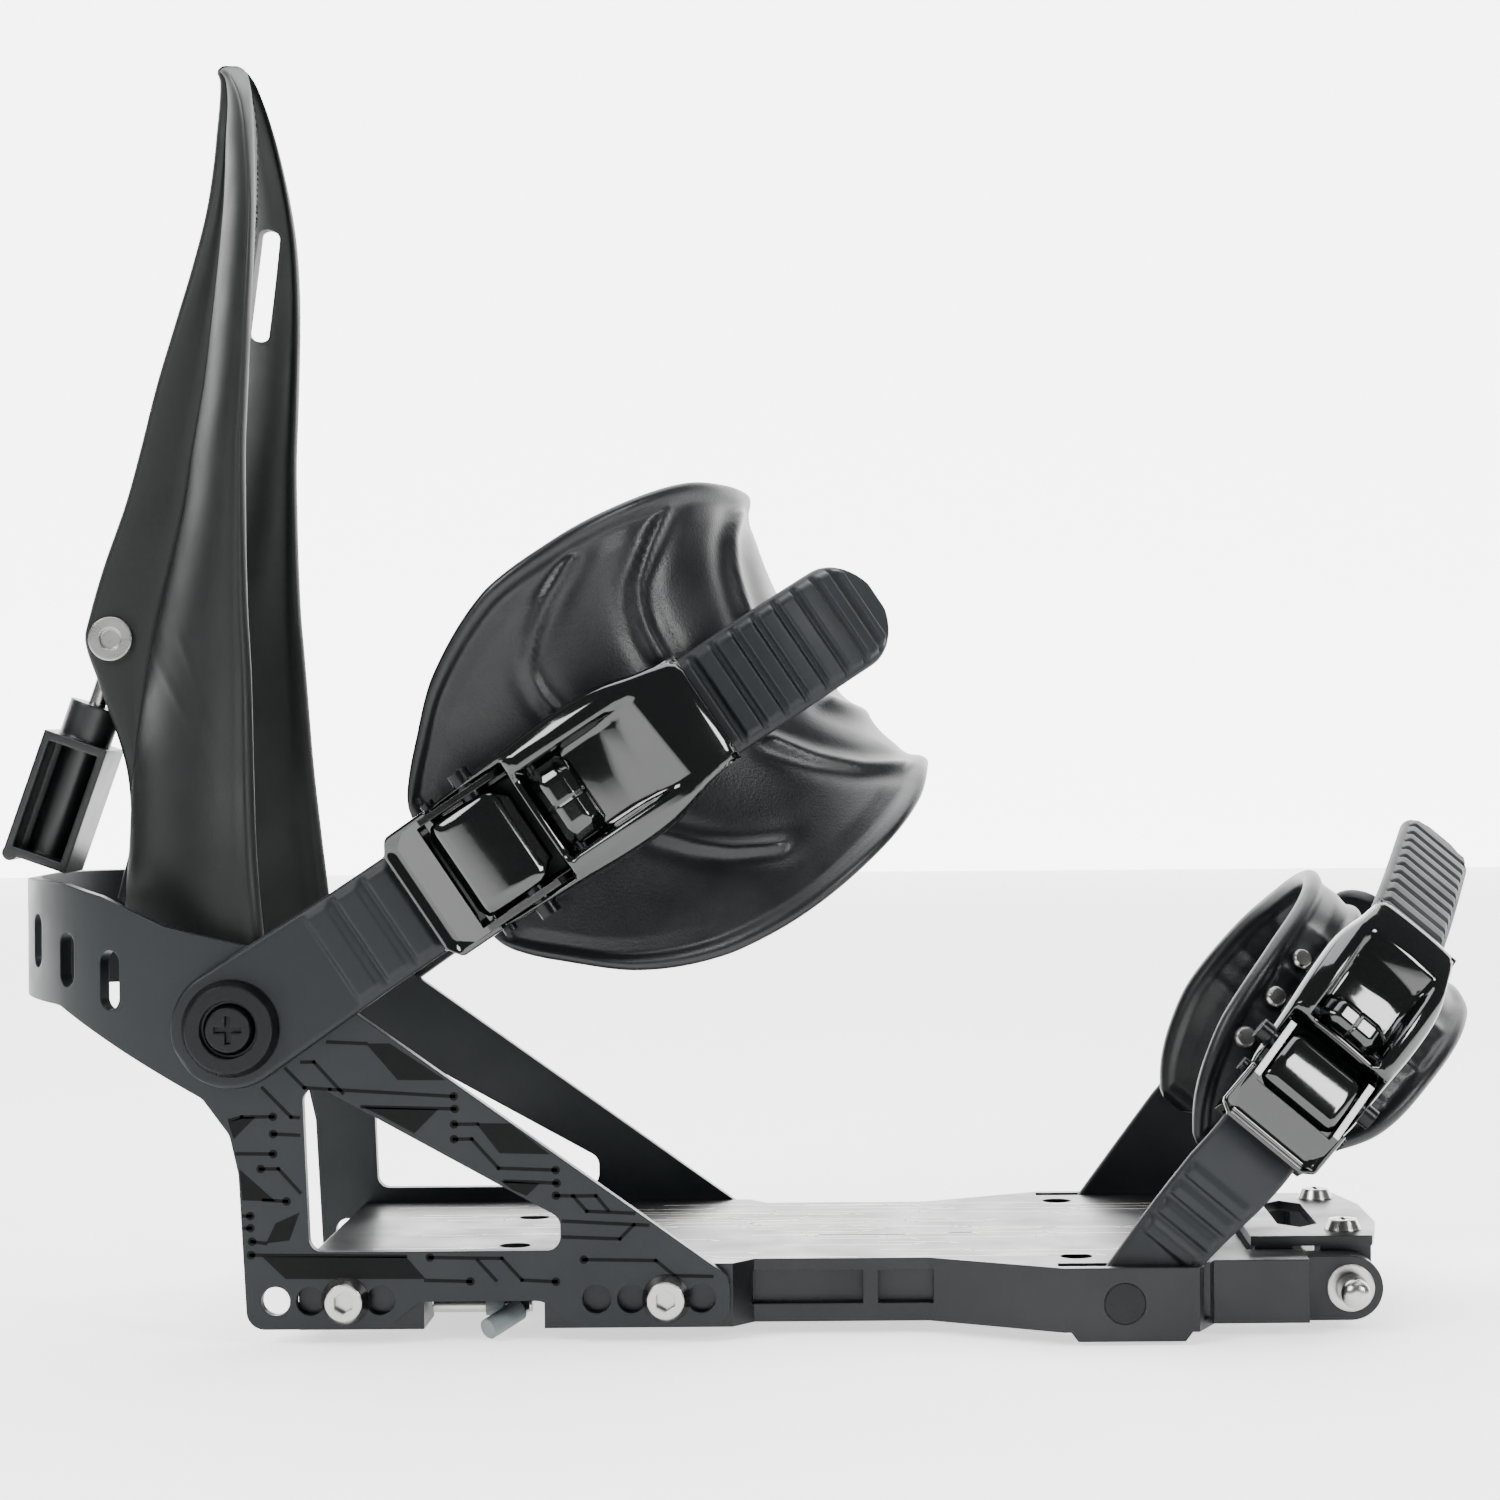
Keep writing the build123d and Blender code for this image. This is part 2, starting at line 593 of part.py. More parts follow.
# ---- pads: thermoformed saddles over the instep and the toes --------------------------------
def saddle(bend, face, centre, arch, outline, radius):
    """Arch of one thickness over both sides, cut to the pad's side outline."""
    inner = arch - pad_thickness
    with BuildPart() as pad:
        with BuildSketch(bend):
            with Locations((centre, 0)):
                Circle(arch)
                Circle(inner, mode=Mode.SUBTRACT)
            with Locations((centre - 100, 0)):
                Rectangle(200, 2 * arch + 2, mode=Mode.SUBTRACT)
            for side in (1, -1):
                with Locations((centre - 30, side * (arch - pad_thickness / 2))):
                    Rectangle(60.1, pad_thickness)
        extrude(amount=60, both=True)
        with BuildSketch(face):
            with BuildLine():
                FilletPolyline(*outline, radius=radius, close=True)
            make_face()
        extrude(amount=arch + 1, both=True, mode=Mode.INTERSECT)
    return pad


ankle_pad = saddle(
    ankle_bend, ankle_face, ankle_arch_centre, ankle_arch,
    [(56, -17), (56, 19), (86, 47.5), (118, 50.5), (160, 35), (160, -35), (118, -50.5),
     (88, -44.5)], 12,
)
toe_pad = saddle(
    toe_bend, toe_face, toe_arch_centre, toe_arch,
    [(35, 2), (37, 12), (60, 21.8), (102, 21.8), (102, -23), (64, -24), (50, -14)], 3,
)
# the toe cap is open in the middle, between its two rails
with BuildPart() as cap_window:
    with BuildSketch(toe_face):
        with Locations(((cap_window_start + cap_window_end) / 2, -1)):
            RectangleRounded(cap_window_end - cap_window_start, cap_window_width, 3)
    extrude(amount=26, both=True)
toe_pad.part = toe_pad.part - cap_window.part


def rivets(bend, spots, radius, long):
    """Round rivets with a low head: (run, y, lean) of each head, lean in degrees from +Y."""
    with BuildPart() as group:
        for run, y, across, lean in spots:
            out = bend.x_dir * sin(radians(lean)) + Vector(0, cos(radians(lean)), 0)
            out = out if y > 0 else Vector(out.X, -out.Y, out.Z)
            head = bend.origin + bend.x_dir * run + bend.z_dir * across + Vector(0, y, 0)
            with BuildSketch(Plane(origin=head, z_dir=out)):
                Circle(radius)
            extrude(amount=-long)
            with BuildSketch(Plane(origin=head, z_dir=out)):
                Circle(radius * 1.9)
            extrude(amount=0.9, taper=30)
    return group


# ---- ratchet buckles -----------------------------------------------------------------------
def buckle_plane(bend, run, y, angle):
    """Plane of a buckle: x up the strap, y away from the boot, z across; near side only."""
    along = bend.x_dir * cos(radians(angle)) + Vector(0, sin(radians(angle)), 0)
    origin = bend.origin + bend.x_dir * run + Vector(0, y, 0)
    return Plane(origin=origin, x_dir=along, z_dir=bend.z_dir * -1)


def bar(plane, x, y, radius, half):
    """Round pin across a buckle."""
    with BuildPart() as pin:
        with BuildSketch(Plane(origin=plane.from_local_coords((x, y, -half)),
                               x_dir=plane.x_dir, z_dir=plane.z_dir)):
            Circle(radius)
        extrude(amount=2 * half)
    return pin.part


def slab(plane, points, half, radius=0.0):
    """Side profile of a buckle piece, drawn through its full width."""
    with BuildPart() as body:
        with BuildSketch(plane):
            with BuildLine():
                if radius:
                    FilletPolyline(*points, radius=radius, close=True)
                else:
                    Polyline(*points, close=True)
            make_face()
        extrude(amount=half, both=True)
    return body.part


def buckle(prefix, plane, k, ladder_half):
    """All pieces of one ratchet buckle of size k around a ladder of the given half-width."""
    wall_in = ladder_half + 0.4
    wall_out = wall_in + wall_thickness
    arm_in = wall_out + skin_gap
    arm_out = arm_in + arm_thickness
    lever_at, stud_at, driver_at = (22.4 * k, axle_y), (13 * k, axle_y - 3), (36 * k, axle_y + 1)
    floor_top = -strap_thickness / 2 - 0.3
    floor_low = floor_top - floor_thickness
    over = strap_thickness / 2 + tooth_depth + 0.4
    # frame: floor under the ladder, two walls, and a lip over the ladder at the entry
    frame = slab(plane, [(2, floor_low), (42 * k, floor_low), (42 * k, floor_top),
                         (33 * k, axle_y - 2), (28 * k, axle_y + 3.4), (10 * k, axle_y + 3.4),
                         (2, over + 2.4)], wall_out)
    frame -= slab(plane, [(-1, floor_top), (60, floor_top), (60, 40), (9 * k, 40),
                          (9 * k, over), (-1, over)], wall_in)
    frame -= bar(plane, *lever_at, lever_axle + running_gap, 30)
    frame -= bar(plane, *stud_at, stud_radius, 30)
    shank = floor_thickness + pad_thickness + pad_gap + 0.9
    rivet_group = Part() + [
        Plane(origin=plane.from_local_coords((x * k, floor_top - shank / 2, 0)),
              z_dir=plane.y_dir) * Cylinder(2.0, shank) for x in (15, 30)
    ]
    frame -= rivet_group
    # lever: two arms outside the walls, joined by the handle beyond the window
    lever = slab(plane, [(18 * k, axle_y - 3), (18 * k, axle_y + 3.6), (24 * k, axle_y + 4.6),
                         (44 * k, axle_y + 7), (60 * k, axle_y + 5.6), (74 * k, axle_y + 1.6),
                         (74 * k, axle_y - 1.6), (58 * k, axle_y + 1.6), (44 * k, axle_y + 2.2),
                         (30 * k, axle_y - 2.6), (24 * k, axle_y - 4)], arm_out, 1.0)
    with BuildPart() as lever_plan:
        with BuildSketch(Plane(origin=plane.origin, x_dir=plane.x_dir, z_dir=plane.y_dir)):
            with BuildLine():
                Polyline((10 * k, -arm_out), (40 * k, -arm_out), (60 * k, -arm_out + 0.4),
                         (75 * k, 3.8 - arm_out), (75 * k, arm_out - 3.8), (60 * k, arm_out - 0.4),
                         (40 * k, arm_out), (10 * k, arm_out), close=True)
            make_face()
            with Locations((47 * k, 0)):
                RectangleRounded(28 * k, 2 * wall_in - 1, 2, mode=Mode.SUBTRACT)
            with Locations((16 * k, 0)):
                Rectangle(37 * k, 2 * arm_in, mode=Mode.SUBTRACT)
        extrude(amount=40, both=True)
    lever = lever & lever_plan.part
    lever -= bar(plane, *lever_at, lever_axle, 30)
    lever -= bar(plane, *driver_at, driver_axle, 30)
    # release pawl: a rocker on the lever axle; its rear end is pressed to let the ladder go
    pawl_half = wall_in - 1
    pawl = slab(plane, [(10 * k, axle_y - 0.8), (18 * k, axle_y - 3), (25 * k, over + 0.6),
                        (29 * k, over + 0.2), (28.6 * k, axle_y + 1.2), (26 * k, axle_y + 3.2),
                        (12 * k, axle_y + 3.4), (10 * k, axle_y + 2.2)], pawl_half)
    pawl -= bar(plane, *lever_at, lever_axle + running_gap, 30)
    # driver: the claw on the lever that pulls the ladder through
    driver_half = wall_in - 2.4
    driver = slab(plane, [(34 * k, axle_y - 1.4), (38 * k, over + 0.4), (43 * k, over + 0.6),
                          (42.5 * k, axle_y + 2), (38 * k, axle_y + 3.6), (34 * k, axle_y + 3)],
                  driver_half)
    driver -= bar(plane, *driver_at, driver_axle + running_gap, 30)
    axles = bar(plane, *lever_at, lever_axle, arm_out + 2)
    studs = bar(plane, *stud_at, stud_radius, wall_out + 2.4)
    studs -= bar(plane, *stud_at, stud_radius + 1, wall_in + 0.05)
    driver_pin = bar(plane, *driver_at, driver_axle, arm_out - 0.3)
    for name, part in (("frame", frame), ("lever", lever), ("release", pawl),
                       ("driver", driver), ("lever_axle", axles), ("studs", studs),
                       ("driver_pin", driver_pin), ("rivets", rivet_group)):
        part.label = prefix + "_buckle_" + name
        export_step(part, "parts/" + part.label + ".step")
    return rivet_group


ankle_buckle_plane = buckle_plane(ankle_bend, 49, -ladder_y, 0)
toe_buckle_plane = buckle_plane(toe_bend, 43.5, -61.4, toe_buckle_angle)
ankle_pad.part -= buckle("ankle", ankle_buckle_plane, 1.0, ankle_width / 2)
toe_pad.part -= buckle("toe", toe_buckle_plane, toe_buckle_scale, toe_width / 2)

# ---- pad fixings: screws through the far straps, rivets along the toe cap --------------------
far_spot = ankle_arch + 2.0 + strap_thickness / 2
ankle_spots = [(run, far_spot, 0, 0) for run in ankle_pad_screw_runs]
ankle_pad_screws = rivets(ankle_bend, ankle_spots, pad_screw_radius, 8.6)
ankle_pad.part -= ankle_pad_screws.part
ankle_far_strap.part -= ankle_pad_screws.part
finish(ankle_pad_screws, "ankle_pad_screws")
toe_spots = []
for run in toe_rivet_runs:
    lean = degrees(asin((run - toe_arch_centre) / toe_arch))
    toe_spots.append((run, -toe_arch * cos(radians(lean)), toe_rivet_across, lean))
toe_rivets = rivets(toe_bend, toe_spots, rivet_radius, pad_thickness + 0.8)
toe_pad.part -= toe_rivets.part
finish(toe_rivets, "toe_rivets")
toe_screw_lean = 18.0
toe_spot = (toe_arch_centre + (toe_arch + 4.6) * sin(radians(toe_screw_lean)),
            (toe_arch + 4.6) * cos(radians(toe_screw_lean)), 0, toe_screw_lean)
toe_pad_screws = rivets(toe_bend, [toe_spot], pad_screw_radius, 10.2)
toe_pad.part -= toe_pad_screws.part
toe_far_strap.part -= toe_pad_screws.part
finish(toe_pad_screws, "toe_pad_screws")
finish(ankle_pad, "ankle_pad")
finish(toe_pad, "toe_pad")
finish(ankle_far_strap, "ankle_far_strap")
finish(toe_far_strap, "toe_far_strap")

# ---- toe trunnions: shouldered pins in the toe ears, one for each toe strap ------------------
with BuildPart() as toe_trunnions:
    for side in (1, -1):
        seat = Plane(origin=(trunnion_x, side * flange_half, trunnion_z), z_dir=(0, side, 0))
        with BuildSketch(seat):
            Circle(trunnion_radius)
        extrude(amount=-ear_wall + 0.3)
        with BuildSketch(seat):
            Circle(strap_pin_radius)
        extrude(amount=-(flange_half - block_half + 5.5))
finish(toe_trunnions, "toe_trunnions")

# ---- snap ramp: deck plate at the toe, hinged on the toe pins --------------------------------
window_middle = (window_rear + window_front) / 2
with BuildPart() as snap_ramp:
    with BuildSketch(Plane.XY.offset(ramp_under)):
        with BuildLine():
            Polyline((ramp_rear, -ramp_half), (ramp_front - ramp_chamfer, -ramp_half),
                     (ramp_front, -ramp_nose_half), (ramp_front, ramp_nose_half),
                     (ramp_front - ramp_chamfer, ramp_half), (ramp_rear, ramp_half), close=True)
        make_face()
        with BuildLine():
            Polyline((window_rear, -window_half), (window_middle, -window_half - window_point),
                     (window_front, -window_half), (window_front, window_half),
                     (window_middle, window_half + window_point), (window_rear, window_half),
                     close=True)
        make_face(mode=Mode.SUBTRACT)
    extrude(amount=ramp_top - ramp_under)
    for side in (1, -1):
        knuckle_y = side * (ramp_half - knuckle_length / 2)
        with BuildSketch(side_plane(knuckle_y)):
            with Locations((pin_x, pin_z)):
                Circle(knuckle_radius)
            with BuildLine():
                Polyline((pin_x - knuckle_radius, pin_z), (pin_x + knuckle_radius, pin_z),
                         (pin_x + knuckle_radius, ramp_under + 0.1),
                         (pin_x - knuckle_radius, ramp_under + 0.1), close=True)
            make_face()
        extrude(amount=knuckle_length / 2, both=True)
        with Locations((ramp_rear + 5.1, side * (ramp_half - 3), ramp_under - knuckle_foot / 2)):
            Box(8.4, 6, knuckle_foot)
        with Locations(Plane(origin=(pin_x, knuckle_y, pin_z), z_dir=(0, 1, 0))):
            Hole(pin_radius + running_gap)
        with Locations((ramp_screw_x, side * ramp_screw_y, ramp_top)):
            Hole(ramp_screw_radius, depth=ramp_top - pin_z - pin_radius - 0.4)
finish(snap_ramp, "snap_ramp")

with BuildPart() as ramp_screws:
    for side in (1, -1):
        seat = Plane(origin=(ramp_screw_x, side * ramp_screw_y, ramp_top))
        with BuildSketch(seat):
            Circle(ramp_head_radius)
        extrude(amount=ramp_head_height, taper=25)
        with BuildSketch(seat):
            Circle(ramp_screw_radius)
        extrude(amount=-(ramp_top - pin_z - pin_radius - 0.5))
        with BuildSketch(seat.offset(ramp_head_height)):
            Rectangle(ramp_head_radius + 0.4, cross_width - 0.3)
            Rectangle(cross_width - 0.3, ramp_head_radius + 0.4)
        extrude(amount=-cross_depth, mode=Mode.SUBTRACT)
finish(ramp_screws, "ramp_screws")

# ---- toe pin bushes and pins -------------------------------------------------------------------
with BuildPart() as toe_pin_bushes:
    for side in (1, -1):
        with BuildSketch(Plane(origin=(pin_x, side * clevis_half, pin_z), z_dir=(0, -side, 0))):
            Circle(bush_radius)
            Circle(pin_radius + running_gap, mode=Mode.SUBTRACT)
        extrude(amount=clevis_thickness)
finish(toe_pin_bushes, "toe_pin_bushes")

for side, name in ((-1, "toe_pin_near"), (1, "toe_pin_far")):
    inner_end = ramp_half - knuckle_length + pin_retract * 0.3
    with BuildPart() as toe_pin:
        with BuildSketch(Plane(origin=(pin_x, side * inner_end, pin_z), z_dir=(0, side, 0))):
            Circle(pin_radius)
        extrude(amount=clevis_half + pin_reach - inner_end)
        fillet(toe_pin.edges().sort_by(Axis.Y)[-1 if side > 0 else 0], pin_radius * 0.8)
    finish(toe_pin, name)

# ---- heel lock wires: a steel rod under each heel rail, bent to a capped thumb end ------------
for side, name in ((-1, "near"), (1, "far")):
    with BuildPart() as wire_rod:
        with BuildSketch(Plane(origin=(rod_start, side * wire_y, wire_z), z_dir=(1, 0, 0))):
            Circle(wire_radius)
        extrude(amount=bend_x - rod_start)
        elbow = Vector(bend_x - 1.2, side * wire_y, wire_z)
        cap_dir = Vector(-0.62, side * 0.72, -0.31).normalized()
        with BuildSketch(Plane(origin=elbow, z_dir=cap_dir)):
            Circle(wire_radius)
        extrude(amount=5)
    finish(wire_rod, "heel_wire_" + name)
    with BuildPart() as wire_sleeve:
        with BuildSketch(Plane(origin=(sleeve_start, side * wire_y, wire_z), z_dir=(1, 0, 0))):
            Circle(wire_radius + sleeve_wall)
            Circle(wire_radius, mode=Mode.SUBTRACT)
        extrude(amount=sleeve_length)
    finish(wire_sleeve, "heel_wire_sleeve_" + name)
    with BuildPart() as wire_cap:
        with BuildSketch(Plane(origin=elbow + cap_dir * 2.6, z_dir=cap_dir)):
            Circle(cap_radius)
        extrude(amount=cap_length)
    cap = wire_cap.part - wire_rod.part
    cap.label = "heel_wire_cap_" + name
    export_step(cap, "parts/" + cap.label + ".step")
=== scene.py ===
"""Splitboard binding on a pale studio floor: light, finishes and the soft and moulded pieces.

The frame's own axes, +X to the toe, +Y to the far side, +Z up.  Sizes in the tables below are
millimetres and are scaled to metres as each mesh is made.
"""
import math
import random

import bmesh
import bpy
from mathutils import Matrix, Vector


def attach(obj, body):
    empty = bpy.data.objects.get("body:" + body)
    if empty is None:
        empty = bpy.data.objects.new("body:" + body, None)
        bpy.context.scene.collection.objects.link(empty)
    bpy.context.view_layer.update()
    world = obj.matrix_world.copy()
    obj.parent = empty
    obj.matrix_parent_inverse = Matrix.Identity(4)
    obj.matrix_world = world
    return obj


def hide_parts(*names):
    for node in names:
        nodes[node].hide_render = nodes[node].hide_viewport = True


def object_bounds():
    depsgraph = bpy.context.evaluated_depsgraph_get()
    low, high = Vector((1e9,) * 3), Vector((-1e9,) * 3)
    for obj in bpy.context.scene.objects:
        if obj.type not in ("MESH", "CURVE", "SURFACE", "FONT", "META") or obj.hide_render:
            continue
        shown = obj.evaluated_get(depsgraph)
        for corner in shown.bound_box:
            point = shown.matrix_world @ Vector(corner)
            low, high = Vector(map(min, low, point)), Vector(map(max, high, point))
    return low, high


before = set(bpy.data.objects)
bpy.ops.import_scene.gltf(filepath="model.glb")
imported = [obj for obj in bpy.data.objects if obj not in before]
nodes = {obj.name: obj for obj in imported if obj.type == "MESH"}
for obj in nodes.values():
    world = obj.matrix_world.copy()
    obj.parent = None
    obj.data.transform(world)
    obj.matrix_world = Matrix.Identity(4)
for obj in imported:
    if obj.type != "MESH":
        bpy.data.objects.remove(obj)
frame_low, frame_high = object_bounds()
random.seed(11)

# ==== Studio ================================================================================
# A pale floor before a lit white wall, in a dim room with large soft lights.  Black parts are
# read by what they mirror: the wall silvers whatever lies edge-on to the eye, the room stays dark.


def colour(code):
    """Linear colour of a six-digit sRGB code."""
    parts = [int(code[i:i + 2], 16) / 255 for i in (0, 2, 4)]
    return (*[c / 12.92 if c < 0.04045 else ((c + 0.055) / 1.055) ** 2.4 for c in parts], 1.0)


def node(tree, kind, inputs, **settings):
    """Add a shader node; inputs maps a socket to a value or to the socket that feeds it."""
    made = tree.nodes.new("ShaderNode" + kind)
    for key, value in settings.items():
        setattr(made, key, value)
    for key, value in inputs.items():
        if isinstance(value, bpy.types.NodeSocket):
            tree.links.new(value, made.inputs[key])
        else:
            made.inputs[key].default_value = value
    return made


def surface(name, code, rough, metal=0.0, coat=0.0, grain=0.5, depth=0.01, spread=0.06,
            edge=0.4, sheen=0.5):
    """A finish with uneven gloss, a fine grain and softened edges; sizes in millimetres.

    grain and depth are the width and height of the surface's own texture, edge is the radius
    that handling and finishing leave on a corner, and spread is how far the gloss wanders.
    """
    handled_patches = 70.0      # per metre, so patches about 14 mm across
    material = bpy.data.materials.new(name)
    material.use_nodes = True
    tree = material.node_tree
    shader = tree.nodes["Principled BSDF"]
    place = node(tree, "TexCoord", {}).outputs["Object"]
    cloud = node(tree, "TexNoise", {"Vector": place, "Scale": handled_patches, "Detail": 3.0})
    fine = node(tree, "TexNoise", {"Vector": place, "Scale": 1000 / grain, "Detail": 2.0})
    gloss = node(tree, "MapRange", {"Value": cloud.outputs[0], "From Min": 0.3, "From Max": 0.7,
                                    "To Min": max(0.02, rough - spread), "To Max": rough + spread})
    tree.links.new(gloss.outputs[0], shader.inputs["Roughness"])
    pale = tuple(min(1.0, c * 1.35) for c in colour(code)[:3]) + (1.0,)
    tint = node(tree, "Mix", {0: cloud.outputs[0], 6: colour(code), 7: pale}, data_type="RGBA")
    tree.links.new(tint.outputs[2], shader.inputs["Base Color"])
    rounded = node(tree, "Bevel", {"Radius": edge / 1000}, samples=4)
    bump = node(tree, "Bump", {"Height": fine.outputs[0], "Distance": depth / 1000,
                               "Normal": rounded.outputs[0]})
    tree.links.new(bump.outputs[0], shader.inputs["Normal"])
    shader.inputs["Metallic"].default_value = metal
    shader.inputs["Specular IOR Level"].default_value = sheen
    shader.inputs["Coat Weight"].default_value = coat
    shader.inputs["Coat Roughness"].default_value = 0.05
    return material


def glow(material, strength):
    """Let a paper shine white by itself, as one lit from behind does."""
    shader = material.node_tree.nodes["Principled BSDF"]
    shader.inputs["Emission Color"].default_value = (1, 1, 1, 1)
    shader.inputs["Emission Strength"].default_value = strength


def light(name, place, aim, size, power, code):
    """A square soft light at place, turned to aim."""
    lamp = bpy.data.objects.new(name, bpy.data.lights.new(name, "AREA"))
    lamp.data.size = size
    lamp.data.energy = power
    lamp.data.color = colour(code)[:3]
    lamp.location = place
    lamp.rotation_euler = (Vector(aim) - Vector(place)).to_track_quat("-Z", "Y").to_euler()
    bpy.context.collection.objects.link(lamp)


world = bpy.data.worlds.new("dim room")
world.use_nodes = True
world.node_tree.nodes["Background"].inputs["Color"].default_value = colour("f4f6f8")
world.node_tree.nodes["Background"].inputs["Strength"].default_value = 0.2
bpy.context.scene.world = world
light("near left softbox", (-0.8, -0.8, 0.9), (0, 0, 0.1), 0.55, 17, "ffffff")
light("overhead softbox", (0.1, 0.1, 1.2), (0, 0, 0), 1.1, 24, "fbfcff")
light("near right softbox", (0.8, -0.7, 0.5), (0, 0, 0.08), 0.3, 8, "ffffff")

# matt paper gives an even pale ground with a faint soft shadow
white_paper = surface("matt white paper", "f2f2f0", 0.85, spread=0.02, depth=0.0)
glow(white_paper, 1.2)
bpy.ops.mesh.primitive_plane_add(size=6, location=(0, 0, frame_low.z - 0.0005))
floor = bpy.context.object
floor.name = "studio floor"
floor.data.materials.append(white_paper)

# the wall is lit from behind, so every part that turns edge-on mirrors it
lit_paper = bpy.data.materials.new("lit white paper")
lit_paper.use_nodes = True
glow(lit_paper, 5.0)
bpy.ops.mesh.primitive_plane_add(size=8, location=(0, 2.2, 0), rotation=(math.radians(90), 0, 0))
wall = bpy.context.object
wall.name = "studio wall"
wall.data.materials.append(lit_paper)

# the eye stands 0.81 m off the near side, level with the ankle pivot
eye = bpy.data.objects.new("eye", bpy.data.cameras.new("eye"))
eye.location = (0.015, -0.808, 0.134)
eye.rotation_euler = (math.radians(90), 0.0075, 0)
eye.data.lens = 84.3
eye.data.sensor_width = 36
eye.data.shift_x = -0.0887
eye.data.shift_y = -0.024
bpy.context.collection.objects.link(eye)
bpy.context.scene.camera = eye

# ==== Baseplate =============================================================================
# Machined from aluminium, bead blasted and dyed black in the anodising bath.  The blasted grain
# breaks up reflections, so at a low angle the deck turns from black to a warm silver.


def dress(material, slot_name, *names):
    """Give CAD nodes a finish."""
    for name in names:
        nodes[name].data.materials.clear()
        nodes[name].data.materials.append(material)


# the blasted pits are a third of a millimetre wide and give a soft, wide highlight
blasted_black_anodise = surface("bead blasted black anodise", "0b0e10", 0.34, metal=0.4,
                                grain=0.35, depth=0.012)
dress(blasted_black_anodise, "anodised_deck", "baseplate")

# ==== Heel loop =============================================================================
# A strip of aluminium, blanked, bent round a former and anodised a blue black.  The decoration is
# printed in a darker dye, thin traces that end in dots, so it shows only as a change of gloss.
# left unblasted, it keeps the mill's finer grain and looks a little smoother than the baseplate
bent_blue_black_anodise = surface("bent strip blue black anodise", "0c1114", 0.4, metal=0.4,
                                  grain=0.3, depth=0.008)
dress(bent_blue_black_anodise, "anodised_black", "heel_loop")


def piece(name, points, faces, material, slot_name, body, *stands_for, round_off=True):
    """A mesh in the place of CAD nodes, riding on their body; points in millimetres."""
    weld = 2e-6
    mesh = bpy.data.meshes.new(name)
    mesh.from_pydata([Vector(p) * 0.001 for p in points], [], faces)
    shape = bmesh.new()
    shape.from_mesh(mesh)
    bmesh.ops.remove_doubles(shape, verts=shape.verts, dist=weld)
    bmesh.ops.delete(shape, geom=[v for v in shape.verts if not v.link_faces], context="VERTS")
    bmesh.ops.recalc_face_normals(shape, faces=shape.faces)
    for face in shape.faces:
        face.smooth = round_off
    shape.to_mesh(mesh)
    made = bpy.data.objects.new(name, mesh)
    bpy.context.collection.objects.link(made)
    mesh.materials.append(material)
    if stands_for:
        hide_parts(*stands_for)
    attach(made, body)
    return made


def prism(corners, place, thick):
    """Points and faces of a thin plate: place gives a corner's point at a depth."""
    count = len(corners)
    points = [place(x, y, depth) for depth in (0.0, thick) for x, y in corners]
    faces = [tuple(range(count)), tuple(range(2 * count - 1, count - 1, -1))]
    faces += [(k, count + k, count + (k + 1) % count, (k + 1) % count) for k in range(count)]
    return points, faces


def line_boxes(line, width):
    """Corners of a box round each leg of a thin line."""
    boxes = []
    for (ax, ay), (bx, by) in zip(line, line[1:]):
        scale = width / 2 / math.hypot(bx - ax, by - ay)
        dx, dy = (bx - ax) * scale, (by - ay) * scale
        boxes.append([(ax - dx - dy, ay - dy + dx), (bx + dx - dy, by + dy + dx),
                      (bx + dx + dy, by + dy - dx), (ax - dx + dy, ay - dy - dx)])
    return boxes


def gather(shapes, place, thick):
    """One mesh's points and faces from many thin plates."""
    points, faces = [], []
    for corners in shapes:
        new_points, new_faces = prism(corners, place, thick)
        faces += [tuple(len(points) + k for k in face) for face in new_faces]
        points += new_points
    return points, faces


# the printed traces in the side view, x and height
traces = [
    [(-104.9, 64.4), (-96.7, 64.0)], [(-110.5, 60.1), (-107.9, 60.1), (-101.8, 53.4)],
    [(-114.0, 58.7), (-110.0, 54.6), (-104.5, 54.2), (-77.9, 52.5)],
    [(-97.6, 50.4), (-77.7, 49.8)], [(-119.0, 54.6), (-112.9, 48.3), (-111.3, 48.2)],
    [(-116.8, 48.4), (-123.5, 48.4), (-126.1, 47.7)], [(-116.8, 44.7), (-111.3, 44.4)],
    [(-116.8, 40.4), (-124.8, 40.5)], [(-119.5, 37.2), (-115.7, 37.2), (-111.1, 32.1)],
    [(-114.0, 30.2), (-118.9, 30.5)], [(-121.8, 27.1), (-123.3, 27.1)],
    [(-121.8, 24.5), (-123.0, 24.5)], [(-121.5, 21.6), (-118.5, 21.2)],
    [(-77.9, 46.5), (-72.8, 46.5)], [(-77.9, 43.3), (-74.1, 43.3), (-68.4, 37.0), (-56.1, 36.5)],
    [(-55.9, 33.7), (-67.0, 34.2)], [(-56.1, 31.0), (-52.4, 30.9), (-49.5, 27.6), (-39.4, 27.1)],
    [(-52.4, 30.9), (-47.5, 30.9), (-44.9, 27.8)], [(-54.5, 25.5), (-36.4, 24.5)],
    [(-54.5, 22.1), (-42.4, 21.6), (-39.4, 24.6)], [(-121.7, 18.7), (-88.5, 18.2)],
    [(-84.2, 13.0), (-74.6, 12.7)], [(-83.3, 17.9), (-67.8, 17.6), (-63.5, 12.9), (-56.2, 12.5)],
    [(-73.0, 17.2), (-69.1, 12.9)], [(-50.2, 17.2), (-34.7, 16.9), (-30.7, 13.6), (-22.7, 13.4)],
]
